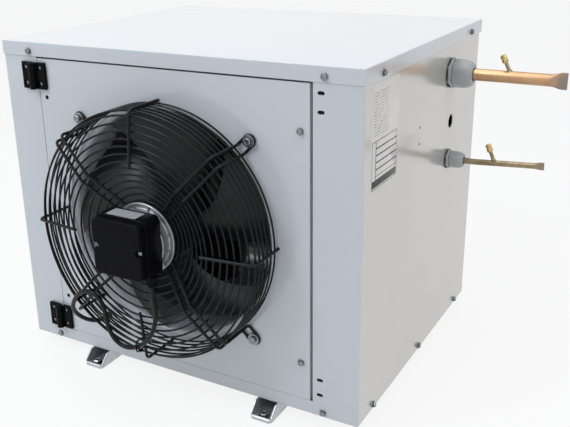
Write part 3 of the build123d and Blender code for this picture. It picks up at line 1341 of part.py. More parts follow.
CABLE_BENDS = [
    0.45 * min(run.length, following.length) / math.tan(math.radians(run.get_angle(following) / 2))
    for run, following in zip(CABLE_RUNS, CABLE_RUNS[1:])
]
print("cable bend radii", [round(bend, 1) for bend in CABLE_BENDS])

with BuildPart() as motor_cable:
    with BuildLine() as cable_path:
        FilletPolyline(*CABLE_POINTS, radius=CABLE_BENDS)
    with BuildSketch(Plane(origin=CABLE_POINTS[0], z_dir=cable_path.line % 0)):
        RegularPolygon(CABLE_R, CABLE_SIDES)
    sweep()
CABLE_LENGTH = sum(edge.length for edge in cable_path.line.edges())
print("cable length", round(CABLE_LENGTH, 1), "volume", round(motor_cable.part.volume, 1))
save(motor_cable, "motor_cable")

with BuildPart() as cable_grommet:
    for lip_start, lip_length, lip_radius in (
        (0, GROMMET_LIP, GROMMET_R),
        (-SHEET, SHEET, GROMMET_NECK_R),
        (-SHEET - GROMMET_OUT, GROMMET_OUT, GROMMET_R),
    ):
        with BuildSketch(FRONT_FACE.offset(lip_start)) as lip_section:
            with Locations((GROMMET_X, GROMMET_Z)):
                RegularPolygon(lip_radius, WASHER_SIDES)
                Circle(CABLE_R + CABLE_PLAY, mode=Mode.SUBTRACT)
        extrude(lip_section.sketch, amount=lip_length)
save(cable_grommet, "cable_grommet")

PLUG_SIDE = 15.0
PLUG_L = 26.0
PLUG_BEVEL = 2.0

with BuildPart() as cable_plug:
    with BuildSketch(FRONT_FACE.offset(-SHEET - GROMMET_OUT)):
        with Locations((GROMMET_X, GROMMET_Z)):
            Rectangle(PLUG_SIDE, PLUG_SIDE)
    extrude(amount=-PLUG_L)
    chamfer(cable_plug.edges().filter_by(Axis.Y), PLUG_BEVEL)
save(cable_plug, "cable_plug")

TIE_X = FAN_X - 8.0
TIE_RING = 10  # the tie goes round this face ring and the next, with the cable
TIE_OUT = 73.2
TIE_Z = FAN_Z - (FACE_RING_RADII[TIE_RING] + FACE_RING_RADII[TIE_RING + 1]) / 2
TIE_DEPTH = 19.0
TIE_HEIGHT = 16.4
TIE_T = 1.2
TIE_W = 2.6
TIE_CORNER = 1.0

with BuildPart() as cable_tie:
    with BuildSketch(Plane.YZ.offset(TIE_X)) as loop:
        with Locations((FRONT - TIE_OUT, TIE_Z)):
            Rectangle(TIE_DEPTH + 2 * TIE_T, TIE_HEIGHT + 2 * TIE_T)
        chamfer(loop.vertices(), TIE_CORNER)
        with Locations((FRONT - TIE_OUT, TIE_Z)):
            Rectangle(TIE_DEPTH, TIE_HEIGHT, mode=Mode.SUBTRACT)
    extrude(amount=TIE_W)
    with BuildSketch(Plane.YZ.offset(TIE_X - TIE_T)):
        with Locations((FRONT - TIE_OUT, TIE_Z - TIE_HEIGHT / 2 - TIE_T - TIE_W / 2)):
            Rectangle(2 * TIE_W, TIE_W)
    extrude(amount=TIE_W + 2 * TIE_T)
save(cable_tie, "cable_tie")
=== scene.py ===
import math

import bmesh
import bpy
from bpy.props import FloatProperty, FloatVectorProperty, IntProperty, PointerProperty
from mathutils import Matrix, Vector


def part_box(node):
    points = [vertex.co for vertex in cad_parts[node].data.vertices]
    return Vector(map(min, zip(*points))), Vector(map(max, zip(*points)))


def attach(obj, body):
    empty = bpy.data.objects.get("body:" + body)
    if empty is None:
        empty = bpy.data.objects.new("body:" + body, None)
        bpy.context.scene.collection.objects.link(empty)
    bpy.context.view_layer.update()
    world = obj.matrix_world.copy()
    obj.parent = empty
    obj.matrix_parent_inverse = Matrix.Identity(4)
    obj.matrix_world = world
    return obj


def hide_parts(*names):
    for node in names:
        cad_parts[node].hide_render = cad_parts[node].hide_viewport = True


bl_info = {
    "name": "Condensing Unit Dressing",
    "version": (1, 0, 0),
    "blender": (4, 5, 0),
    "location": "View3D > Sidebar > Condensing Unit",
    "description": "Detailed pieces and finishes of a boxed refrigeration condensing unit",
    "category": "Object",
}

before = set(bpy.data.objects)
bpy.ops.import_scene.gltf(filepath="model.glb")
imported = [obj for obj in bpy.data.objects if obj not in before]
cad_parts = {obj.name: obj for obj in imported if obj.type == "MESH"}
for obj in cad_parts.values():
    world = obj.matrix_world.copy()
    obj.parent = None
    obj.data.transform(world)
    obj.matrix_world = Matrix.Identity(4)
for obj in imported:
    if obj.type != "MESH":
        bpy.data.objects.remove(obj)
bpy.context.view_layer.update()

MM = 0.001
SHEET = 1.5 * MM

# ---- places read from the frame ----
DOOR_LOW, DOOR_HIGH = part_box("door_panel")
FACE_Y = DOOR_LOW.y
VENTURI_LOW, VENTURI_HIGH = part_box("venturi_ring")
FAN_X = (VENTURI_LOW.x + VENTURI_HIGH.x) / 2
FAN_Z = (VENTURI_LOW.z + VENTURI_HIGH.z) / 2
PANEL_LOW, PANEL_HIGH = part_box("side_panel_right")
SIDE_X = PANEL_HIGH.x
LID_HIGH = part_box("lid")[1]

# Where the two tubes leave the right side: y and z.
PORTS = {"large": (-166.8 * MM, 472.5 * MM), "small": (-160.0 * MM, 328.1 * MM)}
COIL_PITCH = 25 * MM
COIL_ROWS = 18


def mm(*points):
    """Points given in millimetres."""
    return [(x * MM, y * MM) for x, y in points]


def placed(origin, out, across):
    """A frame at origin whose z axis is out and whose x axis is across."""
    z_axis = Vector(out).normalized()
    x_axis = Vector(across)
    x_axis = (x_axis - z_axis * x_axis.dot(z_axis)).normalized()
    y_axis = z_axis.cross(x_axis)
    turned = Matrix((x_axis, y_axis, z_axis)).transposed().to_4x4()
    return Matrix.Translation(Vector(origin)) @ turned


FAN_FRAME = placed((FAN_X, FACE_Y, FAN_Z), (0, -1, 0), (1, 0, 0))


# ---- settings ----
class CabinetLook(bpy.types.PropertyGroup):
    """Colours of the cabinet's sheet metal."""

    paint: FloatVectorProperty(
        name="Paint", description="Powder coat of the casing", default=(0.63, 0.665, 0.705),
        size=3, subtype="COLOR", min=0, max=1)
    paint_roughness: FloatProperty(
        name="Paint Roughness", description="Roughness of the powder coat", default=0.20, min=0, max=1,
        subtype="FACTOR")
    zinc: FloatVectorProperty(
        name="Zinc", description="Zinc-coated feet and brackets", default=(0.62, 0.64, 0.66),
        size=3, subtype="COLOR", min=0, max=1)
    edge: FloatProperty(
        name="Edge Radius", description="Rounding of the folded sheet edges", default=0.7 * MM, min=0,
        subtype="DISTANCE", unit="LENGTH")


class GuardSizes(bpy.types.PropertyGroup):
    """Wires of the fan guard."""

    spoke: FloatProperty(
        name="Spoke Wire", description="Diameter of the spokes", default=4.6 * MM, unit="LENGTH")
    ring: FloatProperty(
        name="Ring Wire", description="Diameter of the rings", default=3.0 * MM, unit="LENGTH")
    first_ring: FloatProperty(
        name="First Ring", description="Radius of the innermost ring", default=55.0 * MM, unit="LENGTH")
    pitch: FloatProperty(
        name="Ring Pitch", description="Distance between face rings", default=10.8 * MM, unit="LENGTH")
    face_rings: IntProperty(name="Face Rings", description="Rings in the guard's face", default=13, min=1)
    side_rings: IntProperty(name="Side Rings", description="Rings round the guard's side", default=6, min=1)
    side_pitch: FloatProperty(
        name="Side Pitch", description="Distance between side rings", default=10.7 * MM, unit="LENGTH")
    black: FloatVectorProperty(
        name="Coating", description="Black coating of the wires", default=(0.004, 0.0042, 0.005),
        size=3, subtype="COLOR", min=0, max=1)


class FanSizes(bpy.types.PropertyGroup):
    """Impeller and motor."""

    blades: IntProperty(name="Blades", description="Number of blades", default=5, min=2)
    blade_thickness: FloatProperty(
        name="Blade Thickness", description="Sheet thickness of a blade", default=2.0 * MM, unit="LENGTH")
    camber: FloatProperty(
        name="Camber", description="Height of a blade's arc as a share of its chord", default=0.055, subtype="FACTOR")
    tip: FloatProperty(name="Tip Radius", description="Radius at the blade tips", default=174.0 * MM, unit="LENGTH")


class PipeLook(bpy.types.PropertyGroup):
    """Copper stubs and their fittings."""

    suction: FloatProperty(
        name="Suction Tube", description="Outer diameter of the upper stub", default=19.05 * MM, unit="LENGTH")
    liquid: FloatProperty(
        name="Liquid Tube", description="Outer diameter of the lower stub", default=9.52 * MM, unit="LENGTH")
    copper: FloatVectorProperty(
        name="Copper", description="Clean copper", default=(0.80, 0.47, 0.30), size=3, subtype="COLOR", min=0, max=1)
    gland: FloatVectorProperty(
        name="Gland", description="Grey gland plastic", default=(0.43, 0.46, 0.47),
        size=3, subtype="COLOR", min=0, max=1)


class CoilSizes(bpy.types.PropertyGroup):
    """Condenser coil."""

    fin_pitch: FloatProperty(
        name="Fin Pitch", description="Distance between fins", default=2.6 * MM, unit="LENGTH")
    fin_thickness: FloatProperty(
        name="Fin Thickness", description="Thickness of a fin", default=0.35 * MM, unit="LENGTH")
    tube: FloatProperty(name="Tube", description="Diameter of the bends", default=9.52 * MM, unit="LENGTH")


class StudioLook(bpy.types.PropertyGroup):
    """Floor, lamps and camera."""

    floor: FloatVectorProperty(
        name="Floor", description="Colour of the floor", default=(0.86, 0.86, 0.86),
        size=3, subtype="COLOR", min=0, max=1)
    white: FloatProperty(
        name="Floor White", description="How far the floor is whitened where it is seen", default=0.86,
        subtype="FACTOR")
    world: FloatProperty(name="Room Light", description="Strength of the even light", default=0.46, min=0)
    top: FloatProperty(name="Top Light", description="Power of the overhead softbox", default=22.0, unit="POWER")
    front: FloatProperty(name="Key Light", description="Power of the key softbox", default=17.0, unit="POWER")
    side: FloatProperty(name="Side Light", description="Power of the side softbox", default=9.0, unit="POWER")
    lens: FloatProperty(name="Lens", description="Focal length in millimetres on a 36 mm sensor", default=51.16)


# ---- node helpers ----
def linked(name, data):
    """A new object in the scene."""
    made = bpy.data.objects.new(name, data)
    bpy.context.scene.collection.objects.link(made)
    return made


def put(tree, kind, inputs=None, **settings):
    """Add a node, set its options and fill its inputs with values or links."""
    made = tree.nodes.new(kind)
    for key, value in settings.items():
        setattr(made, key, value)
    for key, value in (inputs or {}).items():
        if isinstance(value, bpy.types.NodeSocket):
            tree.links.new(value, made.inputs[key])
        else:
            made.inputs[key].default_value = value
    return made


def maths(tree, operation, *values, clamp=False):
    """The output of a node that works one sum."""
    return put(tree, "ShaderNodeMath", dict(enumerate(values)), operation=operation, use_clamp=clamp).outputs[0]


def sockets(tree, inputs, outputs):
    """Declare a group's named inputs and outputs."""
    for name, kind, value in inputs:
        made = tree.interface.new_socket(name=name, in_out="INPUT", socket_type=kind)
        if value is not None:
            made.default_value = value
    for name, kind in outputs:
        tree.interface.new_socket(name=name, in_out="OUTPUT", socket_type=kind)
    return tree.nodes.new("NodeGroupInput").outputs, tree.nodes.new("NodeGroupOutput").inputs


def shader_group(name, inputs, outputs):
    """A shader node group with its input sockets and output sockets."""
    tree = bpy.data.node_groups.new(name, "ShaderNodeTree")
    given, result = sockets(tree, inputs, outputs)
    return tree, given, result


def object_coordinates(tree):
    """The piece's own coordinates, in metres."""
    return put(tree, "ShaderNodeTexCoord").outputs["Object"]


def mottle_group():
    """Cloudy variation: a mask of soft patches with finer specks in it."""
    tree, given, result = shader_group(
        "Soft Mottle",
        [("Scale", "NodeSocketFloat", 8.0), ("Detail", "NodeSocketFloat", 4.0), ("Contrast", "NodeSocketFloat", 1.0)],
        [("Mask", "NodeSocketFloat")],
    )
    cloud = put(tree, "ShaderNodeTexNoise", {
        "Vector": object_coordinates(tree), "Scale": given["Scale"], "Detail": given["Detail"], "Roughness": 0.6})
    centred = maths(tree, "SUBTRACT", cloud.outputs["Fac"], 0.5)
    spread = maths(tree, "MULTIPLY", centred, given["Contrast"])
    back = maths(tree, "ADD", spread, 0.5, clamp=True)
    tree.links.new(back, result["Mask"])
    return tree


def grain_group():
    """Fine relief: orange peel or moulded grain, as a height."""
    tree, given, result = shader_group(
        "Fine Grain",
        [("Scale", "NodeSocketFloat", 900.0), ("Broad", "NodeSocketFloat", 0.3)],
        [("Height", "NodeSocketFloat")],
    )
    where = object_coordinates(tree)
    fine = put(tree, "ShaderNodeTexNoise", {
        "Vector": where, "Scale": given["Scale"], "Detail": 2.0, "Roughness": 0.5})
    wide_scale = maths(tree, "MULTIPLY", given["Scale"], 0.08)
    wide = put(tree, "ShaderNodeTexNoise", {"Vector": where, "Scale": wide_scale, "Detail": 1.0})
    both = maths(tree, "MULTIPLY_ADD", wide.outputs["Fac"], given["Broad"], fine.outputs["Fac"])
    tree.links.new(both, result["Height"])
    return tree


def dust_group():
    """Settled dust: a mask on surfaces that face up, broken into patches."""
    tree, given, result = shader_group(
        "Settled Dust",
        [("Amount", "NodeSocketFloat", 0.3), ("Scale", "NodeSocketFloat", 60.0)],
        [("Mask", "NodeSocketFloat")],
    )
    facing = put(tree, "ShaderNodeSeparateXYZ", {0: put(tree, "ShaderNodeNewGeometry").outputs["Normal"]})
    upward = maths(tree, "MAXIMUM", facing.outputs["Z"], 0.0)
    cloud = put(tree, "ShaderNodeTexNoise", {
        "Vector": object_coordinates(tree), "Scale": given["Scale"], "Detail": 5.0, "Roughness": 0.65})
    mixed = maths(tree, "MULTIPLY", upward, cloud.outputs["Fac"])
    scaled = maths(tree, "MULTIPLY", mixed, given["Amount"], clamp=True)
    tree.links.new(scaled, result["Mask"])
    return tree


def streak_group():
    """Drawn or brushed marks along one axis, as a mask."""
    tree, given, result = shader_group(
        "Drawn Streaks",
        [("Scale", "NodeSocketVector", (4.0, 900.0, 900.0)), ("Contrast", "NodeSocketFloat", 1.0)],
        [("Mask", "NodeSocketFloat")],
    )
    stretched = put(tree, "ShaderNodeVectorMath", {
        0: object_coordinates(tree), 1: given["Scale"]}, operation="MULTIPLY")
    marks = put(tree, "ShaderNodeTexNoise", {
        "Vector": stretched.outputs[0], "Scale": 1.0, "Detail": 3.0, "Roughness": 0.6})
    centred = maths(tree, "SUBTRACT", marks.outputs["Fac"], 0.5)
    spread = maths(tree, "MULTIPLY_ADD", centred, given["Contrast"], 0.5, clamp=True)
    tree.links.new(spread, result["Mask"])
    return tree


GROUPS = {
    "mottle": mottle_group(),
    "grain": grain_group(),
    "dust": dust_group(),
    "streaks": streak_group(),
}


def effect(tree, name, **values):
    """Place a shared effect in a material and return its output."""
    made = put(tree, "ShaderNodeGroup", node_tree=GROUPS[name])
    for key, value in values.items():
        made.inputs[key.replace("_", " ").title()].default_value = value
    return made.outputs[0]


def blend_colour(tree, factor, low, high):
    """Mix two colours by a mask. Either may be a socket."""
    mix = put(tree, "ShaderNodeMix", data_type="RGBA")
    for key, value in ((0, factor), (6, low), (7, high)):
        if isinstance(value, bpy.types.NodeSocket):
            tree.links.new(value, mix.inputs[key])
        else:
            mix.inputs[key].default_value = (*value, 1.0)
    return mix.outputs[2]


def spread(tree, mask, low, high):
    """Turn a mask into a value between low and high."""
    return put(tree, "ShaderNodeMapRange", {0: mask, 3: low, 4: high}).outputs[0]


def finish(name, colour, second, roughness, metallic=0.0, mottle=(9.0, 4.0, 1.4), grain=(900.0, 0.02), broad=0.3,
           dust=None, streaks=None, coat=0.0, specular=0.5, tint=None):
    """A material: two close colours mixed in soft patches, varied roughness and fine relief."""
    material = bpy.data.materials.new(name)
    material.use_nodes = True
    tree = material.node_tree
    shader = tree.nodes["Principled BSDF"]
    shader.inputs["Metallic"].default_value = metallic
    shader.inputs["Specular IOR Level"].default_value = specular
    shader.inputs["Coat Weight"].default_value = coat
    shader.inputs["Coat Roughness"].default_value = 0.12
    mask = effect(tree, "mottle", scale=mottle[0], detail=mottle[1], contrast=mottle[2])
    base = blend_colour(tree, mask, colour, second)
    if streaks:
        marks = effect(tree, "streaks", scale=streaks[0], contrast=1.6)
        dim = maths(tree, "MULTIPLY", marks, streaks[1])
        base = blend_colour(tree, dim, base, tuple(c * 0.45 for c in second))
    if tint:
        base = tint(tree, base)
    if dust:
        base = blend_colour(tree, effect(tree, "dust", amount=dust[0], scale=dust[1]), base, (0.42, 0.40, 0.37))
    tree.links.new(base, shader.inputs["Base Color"])
    tree.links.new(spread(tree, mask, roughness[0], roughness[1]), shader.inputs["Roughness"])
    height = effect(tree, "grain", scale=grain[0], broad=broad)
    bump = put(tree, "ShaderNodeBump", {"Strength": 0.6, "Distance": grain[1] * MM, "Height": height})
    tree.links.new(bump.outputs[0], shader.inputs["Normal"])
    return material


def along_x(tree, start, end):
    """A mask that rises from 0 at x = start to 1 at x = end."""
    split = put(tree, "ShaderNodeSeparateXYZ", {0: object_coordinates(tree)})
    return put(tree, "ShaderNodeMapRange", {0: split.outputs["X"], 1: start, 2: end},
               interpolation_type="SMOOTHSTEP").outputs[0]


def burnt_end(low, high):
    """Heat tint near a stub's pinched end and at its gland."""
    def tint(tree, base):
        sooty = along_x(tree, low, high)
        cloud = effect(tree, "mottle", scale=55.0, detail=5.0, contrast=2.6)
        rough = maths(tree, "MULTIPLY", sooty, cloud)
        more = maths(tree, "MULTIPLY_ADD", sooty, 0.45, rough, clamp=True)
        return blend_colour(tree, more, base, (0.27, 0.22, 0.185))
    return tint


def spangle(tree, base):
    """Zinc spangle: angular patches of slightly different grey."""
    cells = put(tree, "ShaderNodeTexVoronoi", {"Vector": object_coordinates(tree), "Scale": 130.0})
    grey = put(tree, "ShaderNodeSeparateColor", {0: cells.outputs["Color"]})
    fade = maths(tree, "MULTIPLY", grey.outputs[0], 0.35)
    return blend_colour(tree, fade, base, (0.40, 0.42, 0.45))


def ruled_plate(centre, size, rows, band):
    """A foil plate: ruled rows and a column in a frame on its lower half, a dark band under them, faint rows above."""
    def tint(tree, base):
        split = put(tree, "ShaderNodeSeparateXYZ", {0: object_coordinates(tree)})
        across = put(tree, "ShaderNodeMapRange", {
            0: split.outputs["Y"], 1: centre[0] - size[0] / 2, 2: centre[0] + size[0] / 2}).outputs[0]
        height = put(tree, "ShaderNodeMapRange", {
            0: split.outputs["Z"], 1: centre[1] - size[1] / 2, 2: centre[1] + size[1] / 2}).outputs[0]

        def inside(value, low, high):
            above = maths(tree, "GREATER_THAN", value, low)
            below = maths(tree, "LESS_THAN", value, high)
            return maths(tree, "MULTIPLY", above, below)

        def both(one, other):
            return maths(tree, "MULTIPLY", one, other)

        def either(one, other):
            return maths(tree, "MAXIMUM", one, other)

        def stripes(value, count, width):
            scaled = maths(tree, "MULTIPLY", value, count)
            part = maths(tree, "FRACT", scaled)
            return maths(tree, "LESS_THAN", part, width)

        table = both(inside(height, band[1] + 0.03, 0.46), inside(across, 0.18, 0.95))
        column = both(inside(height, band[1], 0.47), inside(across, 0.165, 0.185))
        lines = both(table, stripes(height, rows, 0.20))
        outline = both(inside(height, 0.02, 0.48), inside(across, 0.04, 0.96))
        hollow = both(inside(height, 0.028, 0.472), inside(across, 0.052, 0.948))
        border = maths(tree, "SUBTRACT", outline, hollow)
        dark = both(inside(height, band[0], band[1]), inside(across, 0.05, 0.95))
        strong = either(either(either(lines, border), column), dark)
        faint = both(both(inside(height, 0.52, 0.93), inside(across, 0.06, 0.62)), stripes(height, 2.4 * rows, 0.30))
        broken = put(tree, "ShaderNodeTexNoise", {
            "Vector": put(tree, "ShaderNodeVectorMath", {
                0: object_coordinates(tree), 1: (0, 330, 90)}, operation="MULTIPLY").outputs[0],
            "Scale": 1.0, "Detail": 0.0}).outputs["Fac"]
        words = both(faint, maths(tree, "LESS_THAN", broken, 0.52))
        soft = maths(tree, "MULTIPLY", words, 0.62)
        return blend_colour(tree, either(strong, soft), base, (0.05, 0.05, 0.05))
    return tint


def make_materials(scene):
    """Build every finish once, from the settings."""
    cabinet = scene.unit_cabinet
    guard = scene.unit_guard
    pipe = scene.unit_pipe
    paint = tuple(cabinet.paint)
    zinc = tuple(cabinet.zinc)
    coat = tuple(guard.black)
    copper = tuple(pipe.copper)
    gland = tuple(pipe.gland)
    rough = cabinet.paint_roughness
    suction_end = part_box("suction_stub")[1].x
    liquid_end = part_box("liquid_stub")[1].x

    def dim(colour, share):
        """A darker shade of a colour."""
        return tuple(c * share for c in colour)

    return {
        "paint": finish("Powder Coat", paint, dim(paint, 0.965), (rough - 0.05, rough + 0.06),
                        mottle=(5.0, 5.0, 1.8), grain=(850.0, 0.022), broad=0.8, dust=(0.06, 14.0), coat=0.5),
        # A warmer, more metallic copy of the paint for the sides' outer faces, with faint streaks. Its colour is
        # painted warm light and reflection.
        "satin": finish("Satin Side Sheet", (0.66, 0.65, 0.625), (0.61, 0.60, 0.575), (0.16, 0.24), metallic=0.45,
                        mottle=(3.5, 4.0, 1.8), grain=(700.0, 0.015), streaks=((500.0, 520.0, 2.5), 0.10)),
        "zinc": finish("Galvanised Sheet", zinc, dim(zinc, 0.82), (0.34, 0.5), metallic=0.75,
                       mottle=(30.0, 5.0, 2.0), grain=(1400.0, 0.02), tint=spangle, dust=(0.3, 80.0)),
        "screw": finish("Bright Zinc", (0.30, 0.33, 0.36), (0.20, 0.215, 0.22), (0.14, 0.28), metallic=1.0,
                        mottle=(260.0, 3.0, 2.2), grain=(5000.0, 0.006)),
        "guard": finish("Guard Coating", coat, dim(coat, 1.7), (0.14, 0.24), mottle=(140.0, 4.0, 2.0),
                        grain=(2600.0, 0.012), specular=0.2, dust=(0.004, 300.0)),
        "fan": finish("Fan Coating", (0.006, 0.0065, 0.007), (0.011, 0.012, 0.013), (0.30, 0.42),
                      mottle=(30.0, 5.0, 2.0), grain=(1500.0, 0.03), specular=0.35, dust=(0.03, 40.0)),
        "plastic": finish("Moulded Black Plastic", (0.0035, 0.0035, 0.004), (0.006, 0.006, 0.007), (0.24, 0.32),
                          mottle=(60.0, 4.0, 1.6), grain=(3200.0, 0.02), specular=0.05, dust=(0.002, 120.0)),
        "motor": finish("Cast Aluminium", (0.42, 0.43, 0.45), (0.30, 0.31, 0.33), (0.34, 0.5), metallic=0.9,
                        mottle=(110.0, 5.0, 2.0), grain=(2400.0, 0.05)),
        "steel": finish("Ground Steel", (0.50, 0.50, 0.50), (0.40, 0.40, 0.40), (0.22, 0.34), metallic=1.0,
                        streaks=((900.0, 6.0, 900.0), 0.3)),
        "rubber": finish("Rubber", (0.014, 0.014, 0.014), (0.024, 0.023, 0.022), (0.6, 0.75),
                         mottle=(90.0, 4.0, 1.8), grain=(2400.0, 0.05), dust=(0.2, 160.0)),
        "cable": finish("Cable Sheath", (0.005, 0.005, 0.0055), (0.009, 0.009, 0.010), (0.26, 0.36),
                        mottle=(90.0, 4.0, 1.8), grain=(3000.0, 0.02), specular=0.2),
        "fins": finish("Fin Foil", (0.62, 0.63, 0.65), (0.50, 0.51, 0.53), (0.30, 0.45), metallic=0.9,
                       mottle=(16.0, 5.0, 2.2), grain=(900.0, 0.08), dust=(0.25, 50.0)),
        "copper": finish("Drawn Copper", copper, dim(copper, 0.72), (0.26, 0.42), metallic=1.0,
                         mottle=(34.0, 5.0, 2.4), streaks=((16.0, 700.0, 700.0), 0.35)),
        "copper_large": finish("Suction Stub Copper", (0.66, 0.42, 0.24), (0.52, 0.31, 0.18), (0.22, 0.38),
                               metallic=1.0, mottle=(38.0, 5.0, 2.4), streaks=((14.0, 620.0, 620.0), 0.34),
                               tint=burnt_end(suction_end - 34 * MM, suction_end - 4 * MM)),
        "copper_small": finish("Liquid Stub Copper", (0.46, 0.35, 0.21), (0.24, 0.20, 0.14), (0.22, 0.38),
                               metallic=1.0, mottle=(60.0, 5.0, 2.6), streaks=((16.0, 900.0, 900.0), 0.4),
                               tint=burnt_end(liquid_end - 20 * MM, liquid_end - 3 * MM)),
        "brass": finish("Brass", (0.62, 0.48, 0.22), (0.42, 0.30, 0.13), (0.16, 0.30), metallic=1.0,
                        mottle=(220.0, 4.0, 2.2), grain=(4000.0, 0.008)),
        "gland": finish("Grey Plastic", gland, dim(gland, 0.86), (0.30, 0.42), mottle=(50.0, 4.0, 1.8),
                        grain=(2600.0, 0.03), dust=(0.08, 120.0)),
        "vessel": finish("Black Vessel Paint", (0.014, 0.014, 0.015), (0.026, 0.026, 0.028), (0.26, 0.42),
                         mottle=(26.0, 5.0, 2.0), grain=(1100.0, 0.05), dust=(0.28, 50.0)),
        "drier": finish("Drier Paint", (0.05, 0.16, 0.36), (0.04, 0.12, 0.27), (0.3, 0.42),
                        mottle=(40.0, 5.0, 2.0), grain=(1300.0, 0.04), dust=(0.2, 60.0)),
        "block": finish("Terminal Block Plastic", (0.74, 0.70, 0.60), (0.66, 0.62, 0.52), (0.4, 0.5),
                        mottle=(60.0, 4.0, 1.6), grain=(2600.0, 0.03)),
        "label": finish("Plain Foil", (0.60, 0.62, 0.63), (0.52, 0.54, 0.56), (0.30, 0.42), metallic=0.3,
                        mottle=(120.0, 3.0, 2.0), grain=(2600.0, 0.01)),
    }


MATERIALS = {}


# ---- mesh helpers ----
def circle(radius, sides, phase=0.0):
    """Points of a circle."""
    return [(radius * math.cos(math.tau * (k + phase) / sides), radius * math.sin(math.tau * (k + phase) / sides))
            for k in range(sides)]


def quarter(steps, first=1):
    """Cosine and sine of the steps through a quarter turn."""
    turns = [math.radians(90 * step / steps) for step in range(first, steps + 1)]
    return [(math.cos(turn), math.sin(turn)) for turn in turns]


def hexagon(across_flats, phase=0.0):
    """Corners of a hexagon from its width across flats."""
    return circle(across_flats / 2 / math.cos(math.pi / 6), 6, phase)


def rounded(width, height, radius, steps=5):
    """Outline of a rounded rectangle."""
    points = []
    for cx, cy, start in ((1, 1, 0), (-1, 1, 90), (-1, -1, 180), (1, -1, 270)):
        for step in range(steps + 1):
            turn = math.radians(start + 90 * step / steps)
            points.append((cx * (width / 2 - radius) + radius * math.cos(turn),
                           cy * (height / 2 - radius) + radius * math.sin(turn)))
    return points


def scaled(outline, share, centre=(0, 0)):
    """An outline drawn in towards a centre."""
    return [(centre[0] + (x - centre[0]) * share, centre[1] + (y - centre[1]) * share) for x, y in outline]


class Form:
    """Closed shells skinned over rings of points."""

    def __init__(self):
        self.points = []
        self.faces = []

    def skin(self, rings, closed=False):
        """Join rings of equally many points, with flat ends unless they close on themselves."""
        base = len(self.points)
        count = len(rings[0])
        for ring in rings:
            self.points += [Vector(point) for point in ring]
        for i in range(len(rings) - (0 if closed else 1)):
            j = (i + 1) % len(rings)
            for k in range(count):
                m = (k + 1) % count
                self.faces.append((base + i * count + k, base + i * count + m, base + j * count + m,
                                   base + j * count + k))
        if not closed:
            self.faces.append(tuple(base + k for k in reversed(range(count))))
            self.faces.append(tuple(base + (len(rings) - 1) * count + k for k in range(count)))
        return self

    def stack(self, place, levels, closed=False):
        """Outlines at heights above a placed frame."""
        return self.skin([[place @ Vector((x, y, z)) for x, y in outline] for outline, z in levels], closed)

    def turned(self, place, profile, closed=False, sides=64):
        """A revolved profile of (radius, height) points about a placed frame's z axis."""
        return self.stack(place, [(circle(radius, sides), z) for radius, z in profile], closed)

    def build(self, name, material, bevel=0.0, segments=2, smooth=35.0):
        """A mesh object at the origin, with outward faces and softened edges."""
        mesh = bpy.data.meshes.new(name)
        mesh.from_pydata([tuple(p) for p in self.points], [], self.faces)
        work = bmesh.new()
        work.from_mesh(mesh)
        bmesh.ops.recalc_face_normals(work, faces=work.faces)
        work.to_mesh(mesh)
        work.free()
        made = linked(name, mesh)
        if bevel:
            soften(made, bevel, segments)
        else:
            shade(made, smooth)
        made.data.materials.clear()
        made.data.materials.append(MATERIALS[material])
        return made


def bake(made):
    """Turn an object's modifiers into its plain mesh."""
    bpy.context.view_layer.update()
    evaluated = made.evaluated_get(bpy.context.evaluated_depsgraph_get())
    mesh = bpy.data.meshes.new_from_object(evaluated)
    made.modifiers.clear()
    old = made.data
    made.data = mesh
    mesh.name = made.name
    bpy.data.meshes.remove(old)
    return made


def soften(made, width, segments=2, angle=30.0):
    """Round the edges of a piece."""
    bevel = made.modifiers.new("Edges", "BEVEL")
    bevel.width = width
    bevel.segments = segments
    bevel.limit_method = "ANGLE"
    bevel.angle_limit = math.radians(angle)
    bevel.use_clamp_overlap = True
    bake(made)
    shade(made, 40.0)
    made.modifiers.new("Flat Faces", "WEIGHTED_NORMAL").keep_sharp = True
    return bake(made)


def shade(made, angle=35.0):
    """Smooth shading with sharp edges kept."""
    made.data.polygons.foreach_set("use_smooth", [True] * len(made.data.polygons))
    made.data.set_sharp_from_angle(angle=math.radians(angle))


def settle(made, body, slot, *nodes):
    """Put a finished piece on its body and hide the nodes it stands for. The slot is not used."""
    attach(made, body)
    if nodes:
        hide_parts(*nodes)
    return made


def softened_copy(node, name, material, body, slot, width):
    """A rounded copy of a sheet-metal node, which it replaces."""
    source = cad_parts[node]
    mesh = source.data.copy()
    made = linked(name, mesh)
    work = bmesh.new()
    work.from_mesh(mesh)
    bmesh.ops.remove_doubles(work, verts=work.verts, dist=1e-6)
    bmesh.ops.dissolve_limit(work, angle_limit=math.radians(1.0), verts=work.verts, edges=work.edges)
    work.to_mesh(mesh)
    work.free()
    soften(made, width, 2, 40.0)
    made.data.materials.clear()
    made.data.materials.append(MATERIALS[material])
    return settle(made, body, slot, node)


# ---- geometry node trees ----
def geometry_tree(name, inputs):
    """An empty tree with a geometry input and output and the named inputs."""
    tree = bpy.data.node_groups.new(name, "GeometryNodeTree")
    given, result = sockets(
        tree, [("Geometry", "NodeSocketGeometry", None)] + inputs, [("Geometry", "NodeSocketGeometry")])
    return tree, given, result


def close_tree(tree, geometry, given, result):
    """Every tree ends in real geometry with its material."""
    real = put(tree, "GeometryNodeRealizeInstances", {0: geometry})
    dressed = put(tree, "GeometryNodeSetMaterial", {"Geometry": real.outputs[0], "Material": given["Material"]})
    tree.links.new(dressed.outputs[0], result["Geometry"])
    return tree


